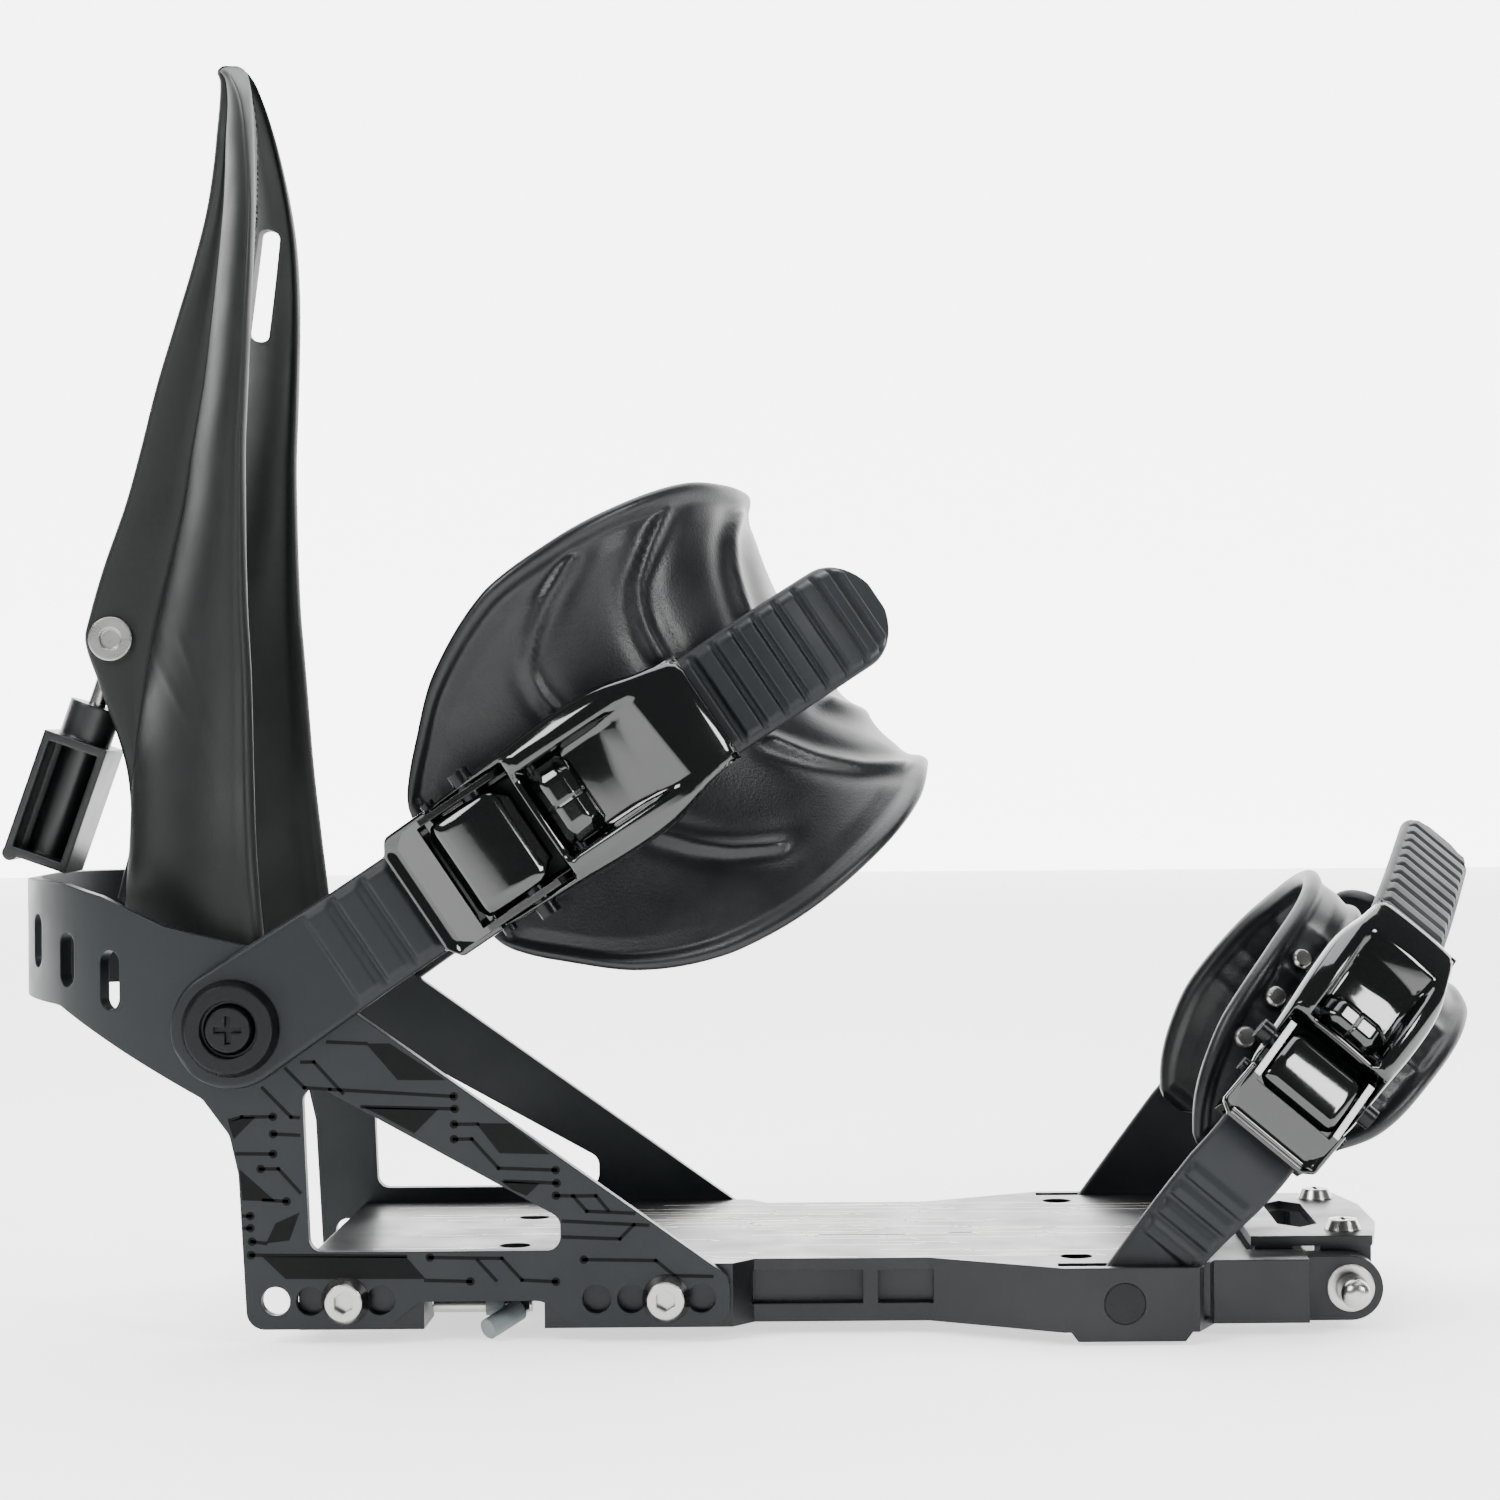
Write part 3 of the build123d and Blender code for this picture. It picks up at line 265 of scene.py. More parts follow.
# where a trace ends in a dot
dots = [
    (-77.9, 52.5), (-77.7, 49.8), (-116.8, 48.4), (-116.8, 44.7), (-116.8, 40.4), (-119.5, 37.2),
    (-114.0, 30.2), (-121.8, 27.1), (-121.8, 24.5), (-121.5, 21.6), (-77.9, 46.5), (-77.9, 43.3),
    (-56.1, 36.5), (-55.9, 33.7), (-56.1, 31.0), (-121.7, 18.7), (-74.6, 12.7), (-83.3, 17.9),
    (-56.2, 12.5), (-50.2, 17.2),
]
# broad dark bars, by their corners
bands = [
    [(-96.7, 64.0), (-91.6, 64.0), (-79.6, 56.0), (-89.9, 56.1)],
    [(-97.6, 50.4), (-81.2, 49.8), (-86.4, 44.6), (-93.4, 48.4)],
    [(-120.5, 48.4), (-123.5, 48.4), (-126.4, 47.3), (-125.3, 43.6)],
    [(-124.1, 37.2), (-116.3, 30.2), (-123.5, 30.5)],
    [(-118.5, 21.2), (-113.4, 21.8), (-111.2, 27.8), (-116.4, 25.5)],
    [(-73.2, 46.7), (-65.9, 46.6), (-57.3, 39.9), (-68.1, 40.2)],
    [(-68.0, 34.3), (-59.5, 33.7), (-62.4, 31.0), (-65.6, 32.4)],
    [(-119.4, 18.4), (-88.5, 18.2), (-84.2, 13.3), (-114.3, 13.5)],
]
trace_width, dot_radius, dot_sides = 0.75, 0.95, 12
plate_face, print_thick = 52.96, 0.07       # the print starts just inside the plate's face at 53
shapes = [box for line in traces for box in line_boxes(line, trace_width)] + bands
shapes += [[(x + dot_radius * math.cos(k * 2 * math.pi / dot_sides),
             z + dot_radius * math.sin(k * 2 * math.pi / dot_sides)) for k in range(dot_sides)]
           for x, z in dots]
# the dye soaks in and dries matt, so it mirrors less than the anodise round it
printed_dye = surface("printed dark dye", "030404", 0.5, grain=0.3, depth=0.002, edge=0.02,
                      sheen=0.12)
for hand, side in (("near", -1), ("far", 1)):
    points, faces = gather(shapes, lambda x, z, depth: (x, side * (plate_face + depth), z),
                           print_thick)
    piece("heel_plate_traces_" + hand, points, faces, printed_dye, "anodised_black", "base",
          round_off=False)

# the deck's etched lines run along the foot, with short jogs where they change track
track_count, track_width, jog = 46, 0.5, 2.2
deck_end, deck_half = 92, 43.4              # how far to the toe and to each side a line may run
deck_face, etch_thick = 15.67, 0.06
tracks = []
for k in range(track_count):
    x, y = random.uniform(-108, 40), random.uniform(-42, 42)
    line = [(x, y)]
    for leg in range(random.randint(1, 3)):
        x += random.uniform(12, 34)
        line.append((x, y))
        x, y = x + jog, y + random.choice((-jog, jog))
        line.append((x, y))
    kept = [p for p in line if p[0] < deck_end and abs(p[1]) < deck_half] or line[:2]
    tracks += line_boxes(kept, track_width)
# the etch goes through the dye to bare metal, which flashes bright along the deck
bare_etch = surface("bare etched aluminium", "b9b7ae", 0.3, metal=0.9, grain=0.3, edge=0.05)
points, faces = gather(tracks, lambda x, y, depth: (x, y, deck_face + depth), etch_thick)
piece("deck_etched_lines", points, faces, bare_etch, "anodised_deck", "base", round_off=False)

# ==== Screws, washers and pins ==============================================================
# Turned and cold headed steel: the socket screws are bare stainless, the ankle screws and their
# dished washers are black.
# bare stainless mirrors the room sharply, with a faint ripple left by the heading die
bright_stainless = surface("cold headed bare stainless", "9c9c99", 0.24, metal=1.0, grain=0.8,
                           depth=0.01, edge=0.6)
# the oxide is a thin dark skin on steel, so it stays metallic but mirrors only dimly
black_oxide = surface("black oxide steel", "101113", 0.28, metal=0.7, edge=0.5)
dress(bright_stainless, "stainless", "heel_loop_screws", "ramp_screws", "lean_pin", "lean_rod",
      "toe_pin_near", "toe_pin_far", "toe_pin_bushes", "toe_rivets", "ankle_pad_screws",
      "toe_pad_screws")
dress(black_oxide, "black_oxide", "ankle_washers", "ankle_screws", "ankle_nuts",
      "toe_trunnions")

# ==== Highback ==============================================================================
# Injection moulded glass filled nylon.  It leaves a spark eroded mould with a satin skin, a round
# bead along the rim and a deep rib down the back that carries the lean adjuster.


def clamp(x):
    """x, held between 0 and 1."""
    return min(1.0, max(0.0, x))


def rolled(gap, radius):
    """Share of the full thickness at a gap in from an edge of this radius."""
    return math.sqrt(max(0.0, 1 - max(0.0, 1 - gap / radius) ** 2))


def smooth(x, table):
    """Value at x of an even curve through (x, value) points, held beyond its ends."""
    last = len(table) - 1
    i = max(0, min(last - 1, sum(x >= point[0] for point in table) - 1))
    (x0, y0), (x1, y1) = table[i], table[i + 1]
    slopes = []
    for k in (i, i + 1):
        before, after = table[max(k - 1, 0)], table[min(k + 1, last)]
        slopes.append((after[1] - before[1]) / (after[0] - before[0]) * (x1 - x0))
    u = clamp((x - x0) / (x1 - x0))
    return (y0 * (1 + 2 * u) * (1 - u) ** 2 + slopes[0] * u * (1 - u) ** 2
            + y1 * u * u * (3 - 2 * u) + slopes[1] * u * u * (u - 1))


def off_line(x, y, line):
    """Distance from (x, y) to a polyline."""
    best = 1e9
    for (ax, ay), (bx, by) in zip(line, line[1:]):
        dx, dy = bx - ax, by - ay
        u = clamp(((x - ax) * dx + (y - ay) * dy) / (dx * dx + dy * dy))
        best = min(best, math.hypot(x - ax - u * dx, y - ay - u * dy))
    return best


def bell(x, middle, width):
    """A smooth bump of height one."""
    return math.exp(-((x - middle) / width) ** 2)


def ease(count):
    """Shares from 0 to 1 that crowd towards both ends, where a skin turns over its edge."""
    return [(1 - math.cos(math.pi * k / count)) / 2 for k in range(count + 1)]


def spans(marks, counts):
    """Values from the first mark to the last, crowded towards every mark."""
    values = [marks[0]]
    for start, end, count in zip(marks, marks[1:], counts):
        values += [start + (end - start) * share for share in ease(count)][1:]
    return values


def towards_one(steps, even, start, crowd):
    """Shares from 0: even ones of 1/steps, then from start on crowded towards 1."""
    return ([k / steps for k in range(even)]
            + [start + (1 - start) * math.sin(k / crowd * math.pi / 2)
               for k in range(1, crowd + 1)])


def skin(outer, inner, skip=()):
    """Points and faces of a closed skin between two grids of points, less the skipped cells."""
    rows, columns = len(outer), len(outer[0])
    back = rows * columns
    here = {(i, j) for i in range(rows - 1) for j in range(columns - 1)} - set(skip)
    faces = []
    for i, j in sorted(here):
        a, b = i * columns + j, i * columns + j + 1
        c, d = b + columns, a + columns
        faces += [(a, b, c, d), (back + d, back + c, back + b, back + a)]
        for di, dj, p, q in ((-1, 0, a, b), (0, 1, b, c), (1, 0, c, d), (0, -1, d, a)):
            if (i + di, j + dj) not in here:
                faces.append((q, p, back + p, back + q))
    return [p for row in outer for p in row] + [p for row in inner for p in row], faces


# height, then the rib's back, the crease beside the rib, the rim, and the half-width at the rim
back_rows = [
    (56, -153.0, -153.0, -116.0, 48.4), (92, -160.0, -157.5, -120.0, 48.2),
    (106, -157.4, -156.8, -121.4, 46.5), (123, -158.2, -155.8, -122.6, 42.6),
    (143, -164.6, -152.7, -123.6, 39.2), (152, -167.4, -150.8, -124.2, 38.4),
    (157.5, -166.4, -149.7, -124.6, 37.9), (169, -163.0, -146.8, -125.0, 37.2),
    (183, -158.0, -143.5, -125.2, 36.6), (195, -154.6, -141.6, -125.2, 36.2),
    (210, -150.7, -138.8, -124.5, 35.8), (225, -146.1, -136.8, -123.9, 35.0),
    (237, -142.4, -135.4, -123.6, 33.0), (250, -139.0, -134.2, -124.0, 29.0),
    (264, -136.9, -133.8, -125.8, 21.8), (274, -136.4, -133.9, -128.2, 14.5),
    (280, -136.6, -134.8, -131.2, 8.4), (284, -137.0, -136.2, -134.6, 1.2),
]
back_edge = [(-162, 94), (-158, 92), (-152, 87), (-146, 79.5), (-141, 70), (-137, 60.5),
             (-131, 56.4), (-119, 56.4), (-114, 60.0)]
rib_table, crease_table, rim_table, half_table = [
    [(row[0], row[k]) for row in back_rows] for k in (1, 2, 3, 4)
]
top_height = 284
rib_share, corner_share, wall_share = 0.16, 0.24, 0.34  # where the rib's back and walls end
rib_corner, widest_rib, rib_draft = 2.0, 9.0, 0.6
panel_bow = 0.82                            # under 1, the side panel bows outwards


def back_section(height, across):
    """(x, y) on the outside of the highback, across from 0 at the spine to 1 at the rim."""
    rib, crease = smooth(height, rib_table), smooth(height, crease_table)
    rim, half = smooth(height, rim_table), smooth(height, half_table)
    rib_half = min(widest_rib, half * 0.45)
    if across < rib_share:
        return rib, across / rib_share * (rib_half - rib_corner)
    flat = min(rib_corner, crease - rib)
    if across < corner_share:
        turn = (across - rib_share) / (corner_share - rib_share) * math.pi / 2
        return (rib + flat * (1 - math.cos(turn)),
                rib_half - rib_corner + rib_corner * math.sin(turn))
    if across < wall_share:
        along = (across - corner_share) / (wall_share - corner_share)
        return rib + flat + (crease - rib - flat) * along, rib_half + rib_draft * along
    turn = (across - wall_share) / (1 - wall_share) * math.pi / 2
    foot = rib_half + rib_draft
    return (crease + (rim - crease) * (1 - math.cos(turn)) ** panel_bow,
            foot + (half - foot) * math.sin(turn))


# raised lines on the flank, and how high and wide they stand
relief_lines = [
    ((-150, 150), (-143, 141), (-136.5, 132), (-132.5, 124), (-129, 113)),
    ((-147, 155), (-141, 152), (-130, 130), (-129, 150), (-147, 155)),
]
relief_rise, relief_width = 0.55, 0.9
half_shell, half_bead, half_foot = 1.5, 0.9, 1.4    # half thickness: panel, more at bead, at ears
bead_in, bead_width, edge_roll = 1.2, 1.6, 1.9
core_in = 2.1                               # from the outside to the middle of the thickness
channel_floor = 3.0                         # the rib's hollow stops this far before the crease
panel_walk, panel_half = 46, 30             # round the panel from spine to rim, and its half-width
open_middle = 122                           # the section is drawn out from here, behind the heel

outer, inner = [], []
rise = towards_one(150, 138, 0.92, 14)
shares = towards_one(46, 44, 0.957, 7)
shares = [-s for s in reversed(shares)] + shares[1:]
for share in shares:
    across, side = abs(share), 1 if share > 0 else -1
    low = smooth(back_section(80, across)[0], back_edge)
    column_out, column_in = [], []
    for up in rise:
        height = low + (top_height - low) * up
        x, y = back_section(height, across)
        rim_gap = (1 - across) * panel_walk * min(1.0, smooth(height, half_table) / panel_half)
        top_gap, foot_gap = top_height - height, height - low
        bead = max(bell(rim_gap, bead_in, bead_width), bell(top_gap, bead_in, bead_width),
                   0.6 * bell(foot_gap, 1, 1.4))
        thick = half_shell + half_bead * bead + half_foot * bell(height, 62, 14) * across
        thick *= rolled(min(rim_gap, top_gap, foot_gap), edge_roll)
        raised = max(relief_rise * bell(off_line(x, height, line), 0, relief_width)
                     for line in relief_lines)
        # outward in the section, from the middle of the open side
        way, core_x, core_y = Vector((-1, 0, 0)), x + core_in, y
        if across > 0.3:
            way = Vector((x + open_middle, y * 1.15, 0)).normalized()
            core_x, core_y = x - way.x * core_in, y - way.y * core_in
        inner_x = core_x - way.x * thick
        if across <= wall_share:
            inner_x = smooth(height, crease_table) + channel_floor + thick
            if thick < 0.4:
                inner_x = core_x
        column_out.append((core_x + way.x * (thick + raised), side * (core_y + way.y * thick),
                           height))
        column_in.append((inner_x, side * (core_y - way.y * thick), height))
    outer.append(column_out)
    inner.append(column_in)
# glass filled nylon copies the mould's spark-eroded grain, so it looks satin and never mirrors
moulded_nylon = surface("moulded glass filled nylon", "080b0b", 0.5, grain=0.28, depth=0.02,
                        spread=0.05, edge=0.3, sheen=0.3)
back_points, back_faces = skin(outer, inner)
moulding = piece("highback_moulding", back_points, back_faces, moulded_nylon, "moulded_highback",
                 "highback", "highback")


def carve(made, cutter):
    """Cut a closed mesh out of a piece."""
    cut = made.modifiers.new("cut", "BOOLEAN")
    cut.object = cutter
    cut.solver = "EXACT"
    bpy.context.view_layer.objects.active = made
    bpy.ops.object.modifier_apply(modifier=cut.name)
    bpy.data.objects.remove(cutter)


# a slot through each side, near the top, for looping a leash
slot_ends, slot_radius, slot_lean, slot_reach = [(-128.9, 247.6), (-131.9, 224.9)], 1.8, -8, 40
corners = []
for (x, z), start in zip(slot_ends, (0, 180)):
    turns = [math.radians(start + slot_lean + k * 15) for k in range(13)]
    corners += [(x + slot_radius * math.cos(turn), z + slot_radius * math.sin(turn))
                for turn in turns]
for side in (-1, 1):
    points, faces = prism(corners, lambda x, z, depth: (x, side * (8 + depth), z), slot_reach)
    mesh = bpy.data.meshes.new("slot")
    mesh.from_pydata([Vector(p) * 0.001 for p in points], [], faces)
    slot_cutter = bpy.data.objects.new("slot", mesh)
    bpy.context.collection.objects.link(slot_cutter)
    carve(moulding, slot_cutter)

# ==== Lean adjuster =========================================================================
# A collar and a long tub moulded in one from unfilled nylon, threaded on the steel lean rod.
# The tub's foot hooks over the heel loop and sets how far the highback leans.
# unfilled nylon is smoother and a little glossier than the highback beside it
smooth_nylon = surface("moulded unfilled nylon", "0d0f10", 0.34, grain=0.4, depth=0.008, edge=0.9)
dress(smooth_nylon, "adjuster_plastic", "lean_block")

# ==== Ladder and far straps =================================================================
# Moulded polyurethane, dull where the hand bends it, with square-cut teeth that the buckle's
# pawl climbs.  The teeth stop short of a plain rim, so each groove ends in a small bright step.
# urethane is soft and takes a fine scuff, so it stays dull and a little blue
moulded_urethane = surface("moulded polyurethane strap", "080c10", 0.5, grain=0.3, depth=0.015,
                           edge=0.25, sheen=0.3)
# each strap's pivot, and how steeply it rises from it
ANKLE = (Vector((-125.1, 0, 67.7)), math.radians(33.6))
TOE = (Vector((65.6, 0, 8.1)), math.radians(50.0))
half_strap, strap_roll = 1.5, 0.9
root_taper = 34                             # the strap widens this far up from its pivot
pivot_bore, walk_step, strap_columns = 3.08, 0.4, 30
tooth_pitch, tooth_rise, tooth_half, plain_tip = 5.3, 1.3, 0.41, 6
grip_rise, plain_rim = 0.9, 1.3


def spot(seat, run, y, across):
    """Point at a run up a strap from its pivot, at y, and across the strap."""
    origin, rise_angle = seat
    up = Vector((math.cos(rise_angle), 0, math.sin(rise_angle)))
    over = Vector((-math.sin(rise_angle), 0, math.cos(rise_angle)))
    return origin + up * run + over * across + Vector((0, y, 0))


def strap(name, seat, route, ends, width, relief, side, body, stands_for):
    """A strap along y = route(run), with end radii ends and a skin raised by relief."""
    walk, run, length = [], route[0][0], route[0][0]
    while run < route[-1][0]:
        slope = (smooth(run + 0.05, route) - smooth(run - 0.05, route)) / 0.1
        scale = math.hypot(1, slope)
        walk.append((run, smooth(run, route), -slope / scale * side, 1 / scale * side, length))
        run += walk_step / scale
        length += walk_step
    total = length
    outer, inner = [], []
    for run, y, out_run, out_y, length in walk:
        half = width / 2
        if length < 0:
            half = math.sqrt(max(0.0, ends[0] ** 2 - length ** 2))
        elif length < root_taper:
            half = ends[0] + (width / 2 - ends[0]) * length / root_taper
        if length > total - ends[1]:
            past = (length - total + ends[1]) / ends[1]
            half *= math.sqrt(max(0.0, 1 - past ** 2))
        to_end = min(length - route[0][0], total - length)
        row_out, row_in = [], []
        for share in ease(strap_columns):
            across = half * (2 * share - 1)
            rim = min(half - abs(across), to_end)
            low = half_strap * rolled(rim, strap_roll)
            high = (half_strap + relief(length, across, rim, total)) * rolled(rim, strap_roll)
            row_out.append(spot(seat, run + out_run * high, y + out_y * high, across))
            row_in.append(spot(seat, run - out_run * low, y - out_y * low, across))
        outer.append(row_out)
        inner.append(row_in)
    made = piece(name, *skin(outer, inner), moulded_urethane, "strap_tpu", body, *stands_for)
    bpy.ops.mesh.primitive_cylinder_add(
        vertices=48, radius=pivot_bore / 1000, depth=0.03, rotation=(math.radians(90), 0, 0),
        location=spot(seat, 0, route[0][1], 0) * 0.001)
    carve(made, bpy.context.object)


def ladder_relief(first, ribs):
    """Teeth from a length on to the tip, and flat grip ribs near the pivot."""
    def relief(length, across, rim, total):
        high = 0.0
        if first < length < total - plain_tip:
            phase = (length - first) / tooth_pitch % 1.0
            high = (tooth_rise * clamp((tooth_half - abs(phase - 0.5)) / 0.1)
                    * clamp((rim - plain_rim) / 0.7))
        for start, end in ribs:
            high += (grip_rise * clamp((length - start) / 0.6) * clamp((end - length) / 1.8)
                     * clamp((rim - 1.2) / 0.8))
        return high
    return relief


strap("ankle_ladder_strap", ANKLE,
      [(-13.1, -54.8), (30, -54.8), (70, -54.8), (112, -54.8), (134, -52.6), (152, -46.6),
       (166, -35)], (13.1, 12.2), 24.4,
      ladder_relief(94, [(26, 33), (33.6, 40.6), (41.2, 48.2)]), -1,
      "ankle_strap", ["ankle_ladder"])
strap("ankle_tail_strap", ANKLE,
      [(-13.1, 54.8), (20, 54.8), (38, 54.8), (50, 53.8), (62, 52.5), (97, 52.5), (113, 51.6),
       (126, 46.5)], (13.1, 10.0), 24.4, lambda *where: 0.0, 1, "ankle_strap",
      ["ankle_far_strap"])
strap("toe_ladder_strap", TOE,
      [(-7.4, -55.5), (10, -55.5), (22, -56.0), (32, -59.0), (42, -61.6), (56, -56.0),
       (80, -45.5), (97, -37), (104.5, -24), (113, -5), (120.5, 13), (124.5, 23)], (7.4, 9.0),
      19.1, ladder_relief(74, [(14, 18.5), (19.3, 23.8), (24.6, 29.1), (29.9, 34.4)]), -1,
      "toe_strap", ["toe_ladder"])
strap("toe_tail_strap", TOE,
      [(-7.4, 55.5), (10, 55.5), (24, 55.3), (50, 53), (70, 48.5), (84, 41.5), (96, 31),
       (104, 22)], (7.4, 9.0), 19.1, lambda *where: 0.0, 1, "toe_strap", ["toe_far_strap"])

# ==== Pads ==================================================================================
# Sheets of foam pressed hot between moulds.  The heat closes the foam to a half-gloss skin, thin
# in the panels and pinched up into ribs between them, with a rolled bead all round the edge.
# the closed skin has pits half a millimetre wide, and gives a broken half gloss on the ribs
pressed_foam = surface("hot pressed foam skin", "06080a", 0.38, sheen=0.35, grain=0.55, depth=0.05,
                       spread=0.07, edge=0.2)


side_columns, window_columns, window_rows = 70, 110, 34
# half the sheet's thickness by the distance from its edge: bead, pinched welt, panel
edge_profile = [(0, 0), (0.12, 0.7), (0.5, 1.4), (1.2, 1.95), (2.1, 2.15), (3.1, 1.9), (4.3, 1.2),
                (6.0, 1.3), (8.5, 1.6)]
rib_rise, rib_width, groove_sink, groove_off, groove_width = 1.2, 1.15, 0.5, 3.0, 1.6
window_start, window_blend = 58, 16         # where the split round a window begins, and its length
flare_reach, flare_power = 36, 2.4


def saddle(name, seat, arch, centre, upper, lower, flare, ribs, press, window, body,
           stands_for):
    """An arched pad: arch is the middle of its sheet, upper and lower its edges along the run.

    window holds its start along the run and its two edges across, or None for a whole pad.
    """
    flank = centre - min(upper[0][0], lower[0][0])
    reach = flank + arch * math.pi / 2
    columns, shares, skip = spans([-reach, reach], (250,)), ease(124), set()
    if window:
        stop = arch * math.acos((window[0] - centre) / arch)
        columns = spans([-reach, -stop, stop, reach], (side_columns, window_columns, side_columns))
        shares = ease(window_rows)
        skip = {(i, j) for i in range(side_columns, side_columns + window_columns)
                for j in range(window_rows, 2 * window_rows)}
    outer, inner = [], []
    for along in columns:
        side = -1 if along < 0 else 1
        if abs(along) <= arch * math.pi / 2:
            turn = along / arch
            run, y = centre + arch * math.cos(turn), arch * math.sin(turn)
            out_run, out_y = math.cos(turn), math.sin(turn)
        else:
            run, y = centre + arch * math.pi / 2 - abs(along), side * arch
            out_run, out_y = 0.0, side
        reach_out = flare * out_run ** 2
        top, foot = smooth(run + reach_out, upper), smooth(run + reach_out, lower)
        marks = [top, foot]
        if window:
            blend = clamp((run - window_start) / window_blend)
            first = foot + 0.64 * (top - foot)
            second = foot + 0.36 * (top - foot)
            marks = [top, first + (window[1] - first) * blend,
                     second + (window[2] - second) * blend, foot]
        line_out, line_in = [], []
        for band, (high_edge, low_edge) in enumerate(zip(marks, marks[1:])):
            for share in shares[1 if band else 0:]:
                across = high_edge + (low_edge - high_edge) * share
                gap = min(top - across, across - foot, reach - abs(along))
                if window:
                    beside = max(abs(along) - stop, across - window[1], window[2] - across)
                    gap = min(gap, max(0.0, beside))
                thick = smooth(gap, edge_profile)
                lift = 0.0
                for line in ribs:
                    away = off_line(run, across, line)
                    lift += press * (rib_rise * bell(away, 0, rib_width)
                                     - groove_sink * bell(away, groove_off, groove_width))
                lift *= clamp((gap - 3.0) / 3.0)
                bow = flare * abs(across / flare_reach) ** flare_power
                mid, mid_y = run + out_run * bow, y + out_y * bow * 0.45
                line_out.append(spot(seat, mid + out_run * (thick + lift),
                                     mid_y + out_y * (thick + lift), across))
                line_in.append(spot(seat, mid - out_run * (thick - lift * 0.5),
                                    mid_y - out_y * (thick - lift * 0.5), across))
        outer.append(line_out)
        inner.append(line_in)
    made = piece(name, *skin(outer, inner, skip), pressed_foam, "pad_foam", body, *stands_for)
    return made


saddle("ankle_pad_sheet", ANKLE, 48.2, 98.0,
       [(56.2, 15), (57.2, 18.6), (59.7, 22.4), (66, 28.8), (77.6, 38.8), (96, 47.2),
        (111.7, 48.6), (125.5, 47.5), (139.9, 44.5), (150, 39.9), (156, 36)],
       [(56.2, -13), (57.4, -17.5), (60.0, -21.5), (65.3, -27), (78.6, -38.4), (94, -45.6),
        (110.3, -48.5), (129.5, -46.8), (144.7, -42.7), (155.5, -36.8)],
       7.5,
       [[(112, 43), (105.5, 38.5), (100, 34), (96.5, 30), (95, 27), (94.4, 22), (95, 18)],
        [(131, 41.5), (125, 35), (121.6, 31), (120, 27), (119, 21), (119, 15)],
        [(146, 36), (142, 29), (140.6, 24), (140, 20), (139, 13)],
        [(116, -33), (109, -28), (104, -23), (98.6, -16)],
        [(145, -36), (138, -29), (133, -21.5), (128.6, -13)],
        [(152, -33), (149, -28), (147, -21), (143, -13)]],
       1.0, None, "ankle_strap", ["ankle_pad"])
saddle("toe_pad_sheet", TOE, 45.2, 51.5,
       [(35.5, 8.0), (36.8, 10.1), (43.4, 15), (52, 18.8), (61.6, 21.3), (79.4, 22.2),
        (92.1, 21.8), (99.4, 21.8)],
       [(35.5, 3.0), (38, -2), (44, -8.5), (50, -14), (61.9, -21.7), (78, -24.4), (95.8, -25.2),
        (99.6, -21.9)],
       2.0,
       [[(66, 19), (66, 8)], [(76, 19.5), (76, 8)], [(86, 19.5), (86, 8)],
        [(66, -10), (67, -20)], [(76, -10), (77, -21)], [(86, -10), (87, -21)]],
       0.5, (78.0, 5.5, -7.5), "toe_strap", ["toe_pad"])

# ==== Ratchet buckles =======================================================================
# Die cast levers, latches and claws, dipped in gloss black that rounds every corner.  The lever
# is a deep dish between two arms, and the latch and the claw sit in it like polished blocks.
# the dip levels itself to a mirror, so only faces turned to a light or the wall show pale
dipped_gloss_black = surface("die cast dipped gloss black", "040505", 0.09, coat=0.5, grain=2.5,
                             depth=0.01, spread=0.03, edge=0.3)


rim_columns, middle_columns, cast_steps = 14, 28, 22


def cast(name, place, ends, half, inside, top, foot, soft, hole, body, *stands_for):
    """A casting between a top and a foot surface over x and z, open where hole says along x.

    half and inside give the half-widths of the casting and of its hole, soft its edge radius.
    """
    marks = sorted({*ends, *hole})
    outer, inner, skip = [], [], set()
    for i, x in enumerate(spans(marks, [cast_steps] * len(marks))):
        wide, gap_half = half(x), inside(x)
        row_out, row_in = [], []
        for z in spans([-wide, -gap_half, gap_half, wide],
                       (rim_columns, middle_columns, rim_columns)):
            gap = min(wide - abs(z), x - ends[0], ends[1] - x)
            if hole:
                gap = min(gap, max(0.0, abs(z) - gap_half, x - hole[1], hole[0] - x))
            middle = (top(x, z) + foot(x, z)) / 2
            thick = (top(x, z) - foot(x, z)) / 2 * rolled(gap, soft)
            row_out.append(place(x, middle + thick, z))
            row_in.append(place(x, middle - thick, z))
        outer.append(row_out)
        inner.append(row_in)
        if hole and hole[0] - 1e-6 <= x < hole[1] - 1e-6:
            skip |= {(i, j) for j in range(rim_columns, rim_columns + middle_columns)}
    return piece(name, *skin(outer, inner, skip), dipped_gloss_black, "buckle_gloss", body,
                 *stands_for)


def level(x, start, end):
    """A smooth step from 0 at start to 1 at end."""
    u = clamp((x - start) / (end - start))
    return u * u * (3 - 2 * u)


# the lever over x from the buckle's rear: half-width, top and foot
lever_half = [(13, 14.9), (17, 15.6), (30, 16.4), (45, 17.2), (57, 16.8), (66, 14.2), (72, 12.8),
              (73.6, 11.6), (74.4, 9.5)]
lever_top = [(13, 10.4), (18, 11.8), (26, 13.0), (44, 15.2), (56, 14.6), (66, 12.2), (74.4, 9.2)]
lever_foot = [(13, 5.4), (24, 5.0), (33, 5.2), (44, 5.6), (58, 5.4), (66, 6.2), (74.4, 6.6)]


dish_deep, bar_rise, shoulder_drop = 6.4, 2.6, 1.2


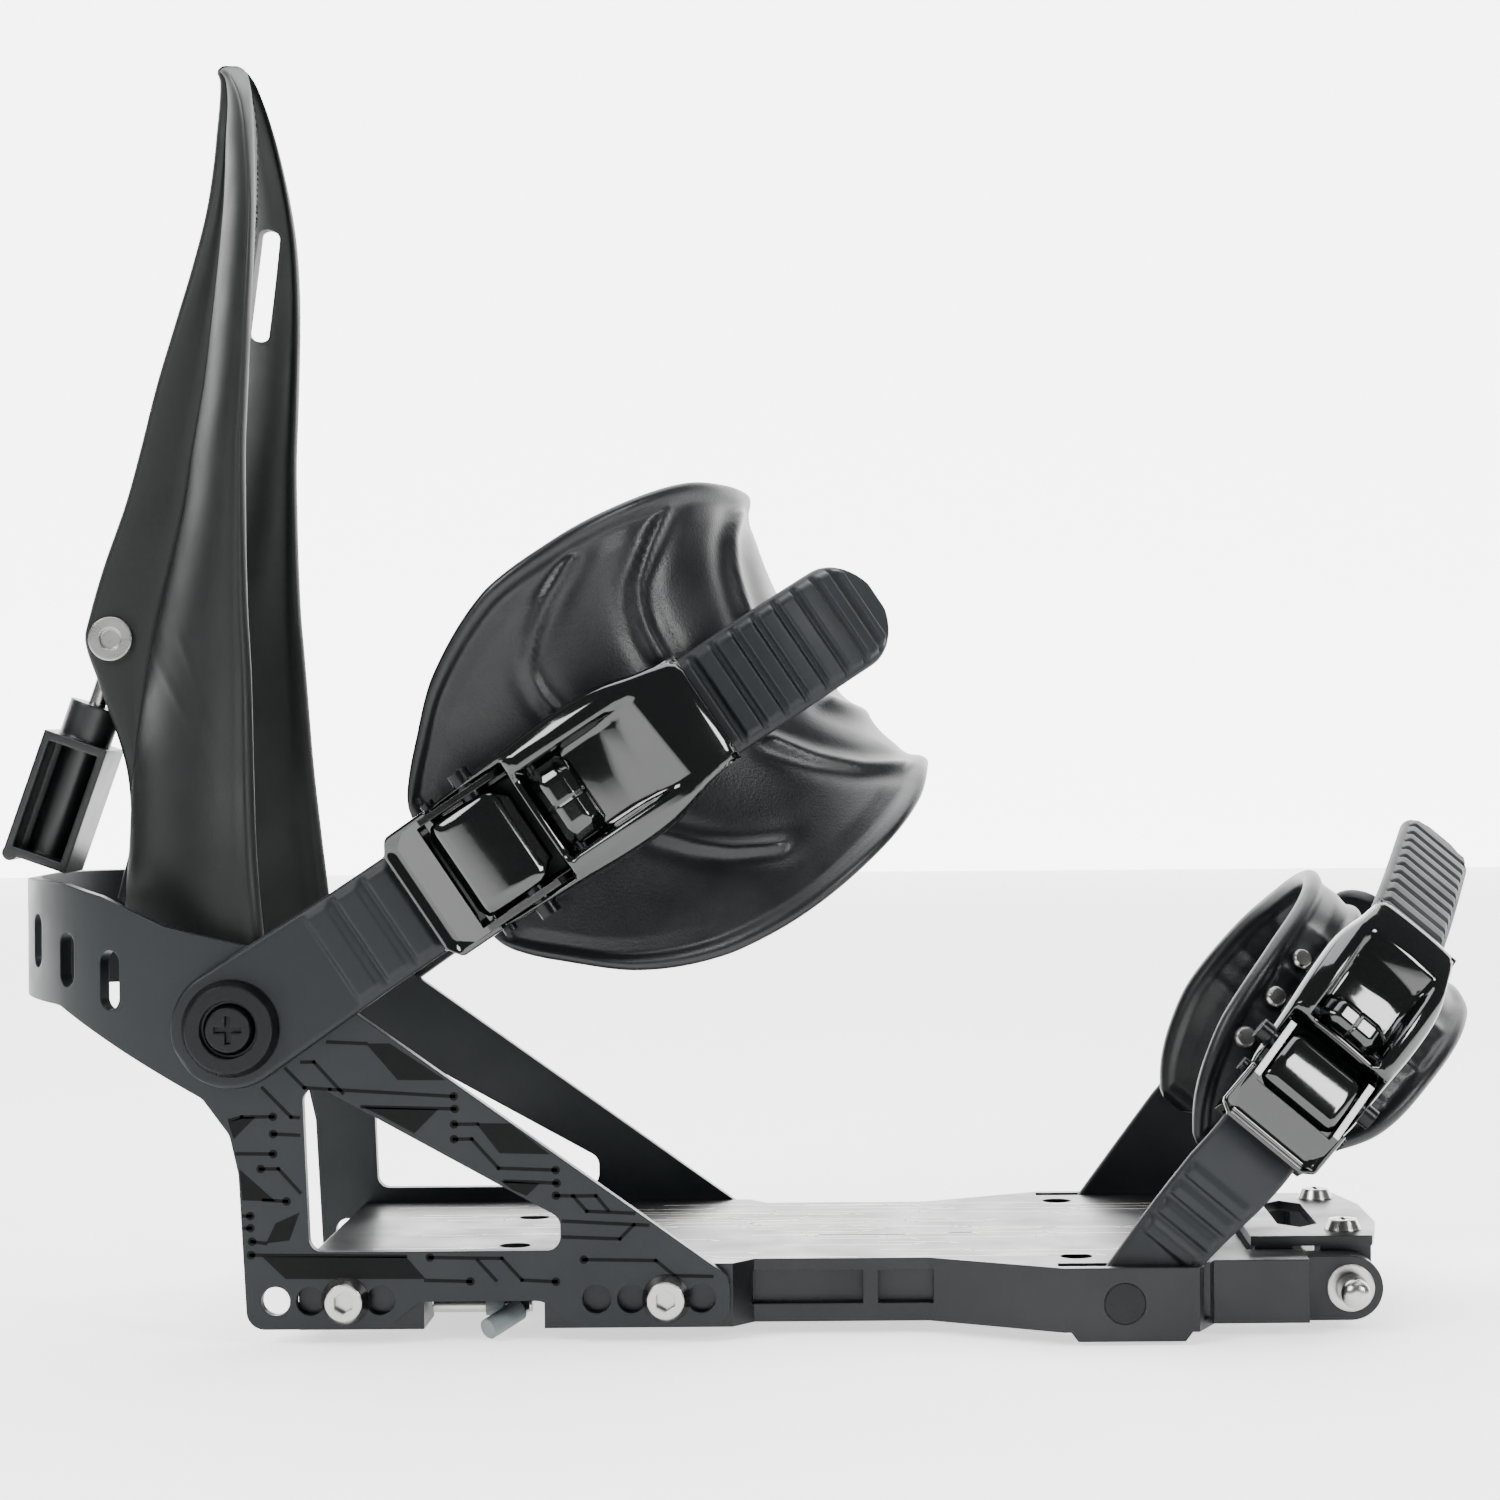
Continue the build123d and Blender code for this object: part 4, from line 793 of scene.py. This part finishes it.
def lever_dish(x, z):
    """Top of the lever: crowned across, and dished behind a bar at the far end."""
    sink = level(x, 31.6, 33.4) * (1 - level(x, 58.8, 61.4)) * (1 - level(abs(z), 9.6, 11.2))
    crown = 0.006 * z * z + shoulder_drop * level(abs(z), 13.5, 17)
    bar = bar_rise * bell(x, 57.5, 3.2) * (1 - level(abs(z), 9.0, 10.6))
    return smooth(x, lever_top) - crown - dish_deep * sink + bar * sink


def latch_top(x, z):
    """Top of the latch: a round back, chamfered to the front, with a thumb strip at the rear."""
    back, strip = 12.1 - 0.012 * (x - 18) ** 2, 2.2 * level(12.6 - x, 0, 2.4)
    return back - 1.6 * level(x, 25, 29) - strip - 0.9 * level(abs(z), 9.0, 12)


def claw_top(x, z):
    """Top of the claw: a flat saw tooth with a fine split down its middle."""
    return (13.2 - 0.9 * max(0.0, abs(x - 38.7) - 2.2) - 0.7 * max(0.0, abs(z) - 5.5)
            - 0.35 * bell(z, 0, 0.35))


def lip_foot(x, z):
    """Underside of the entry lip, which rises with the strap that runs in beneath it."""
    return 4.6 + 0.3 * max(0.0, x - 2)


def lip_top(x, z):
    """Top of the entry lip: raised along both sides and rolled at the mouth."""
    return (5.6 + 0.42 * max(0.0, x - 2) + 1.1 * level(abs(z), 11.5, 14.5)
            + 0.7 * bell(x, -0.2, 1.0))


# the toe buckle is the ankle buckle made smaller, and leans in with its strap
for name, seat, run, y0, lean, long, wide in (
        ("ankle", ANKLE, 49.0, -54.8, 0.0, 1.0, 1.0),
        ("toe", TOE, 43.5, -61.4, math.radians(24.5), 0.82, 0.836)):
    def place(x, y, z):
        """Point at x up the buckle, y out from the ladder and z across, sized to the buckle."""
        return spot(seat, run + x * long * math.cos(lean) + y * math.sin(lean),
                    y0 + x * long * math.sin(lean) - y * math.cos(lean), -z * wide)

    cast(name + "_lever_casting", place, (13, 74.4), lambda x: smooth(x, lever_half),
         lambda x: 14.2 if x < 33 else 13.0, lever_dish, lambda x, z: smooth(x, lever_foot), 1.3,
         (13, 31), name + "_lever", name + "_buckle_lever")
    cast(name + "_latch_casting", place, (9.6, 29.4),
         lambda x: 11.7 - 1.2 * level(10.8 - x, 0, 1.2) - 3.4 * level(x, 25, 29.4), lambda x: 6.0,
         latch_top, lambda x, z: 6.2, 0.8, (), name + "_release", name + "_buckle_release")
    cast(name + "_claw_casting", place, (34, 43.5),
         lambda x: 9.4 - 2.0 * level(abs(x - 38.7), 3, 4.8), lambda x: 1.0,
         claw_top, lambda x, z: 9.0, 0.6, (), name + "_driver", name + "_buckle_driver")
    cast(name + "_entry_lip", place, (-1.0, 12.6),
         lambda x: 15.2 - 3.2 * level(2.0 - x, 0, 3.0), lambda x: 8.0,
         lip_top, lip_foot, 0.6, (), name + "_strap")
    dress(dipped_gloss_black, "buckle_gloss", name + "_buckle_frame")
    dress(black_oxide, "black_oxide",
          *[name + "_buckle_" + part for part in ("lever_axle", "studs", "driver_pin", "rivets")])

# ==== Snap ramp =============================================================================
# A deck plate hinged at the toe, which draws the two steel toe pins in as it lifts.
# It is machined and anodised with the baseplate, so it carries the same finish.
dress(blasted_black_anodise, "anodised_deck", "snap_ramp")

# ==== Heel lock wires =======================================================================
# Bent spring rods under the rails that hold the heel down.  Each has a blue-grey sleeve, and a
# dull grey cap pushed on for the thumb.
# zinc plate is a pale metal with a fine crystal ripple, brighter than the anodise round it
zinc_plate = surface("zinc plated spring rod", "a9aba6", 0.3, metal=1.0, grain=0.6, depth=0.01,
                     edge=0.2)
# polythene is waxy and spreads the light, so the caps look soft beside the rod
thumb_cap = surface("push on polythene cap", "5b6263", 0.5, depth=0.01)
for hand in ("near", "far"):
    dress(zinc_plate, "zinc_wire", "heel_wire_" + hand)
    dress(thumb_cap, "cap_grey", "heel_wire_sleeve_" + hand, "heel_wire_cap_" + hand)
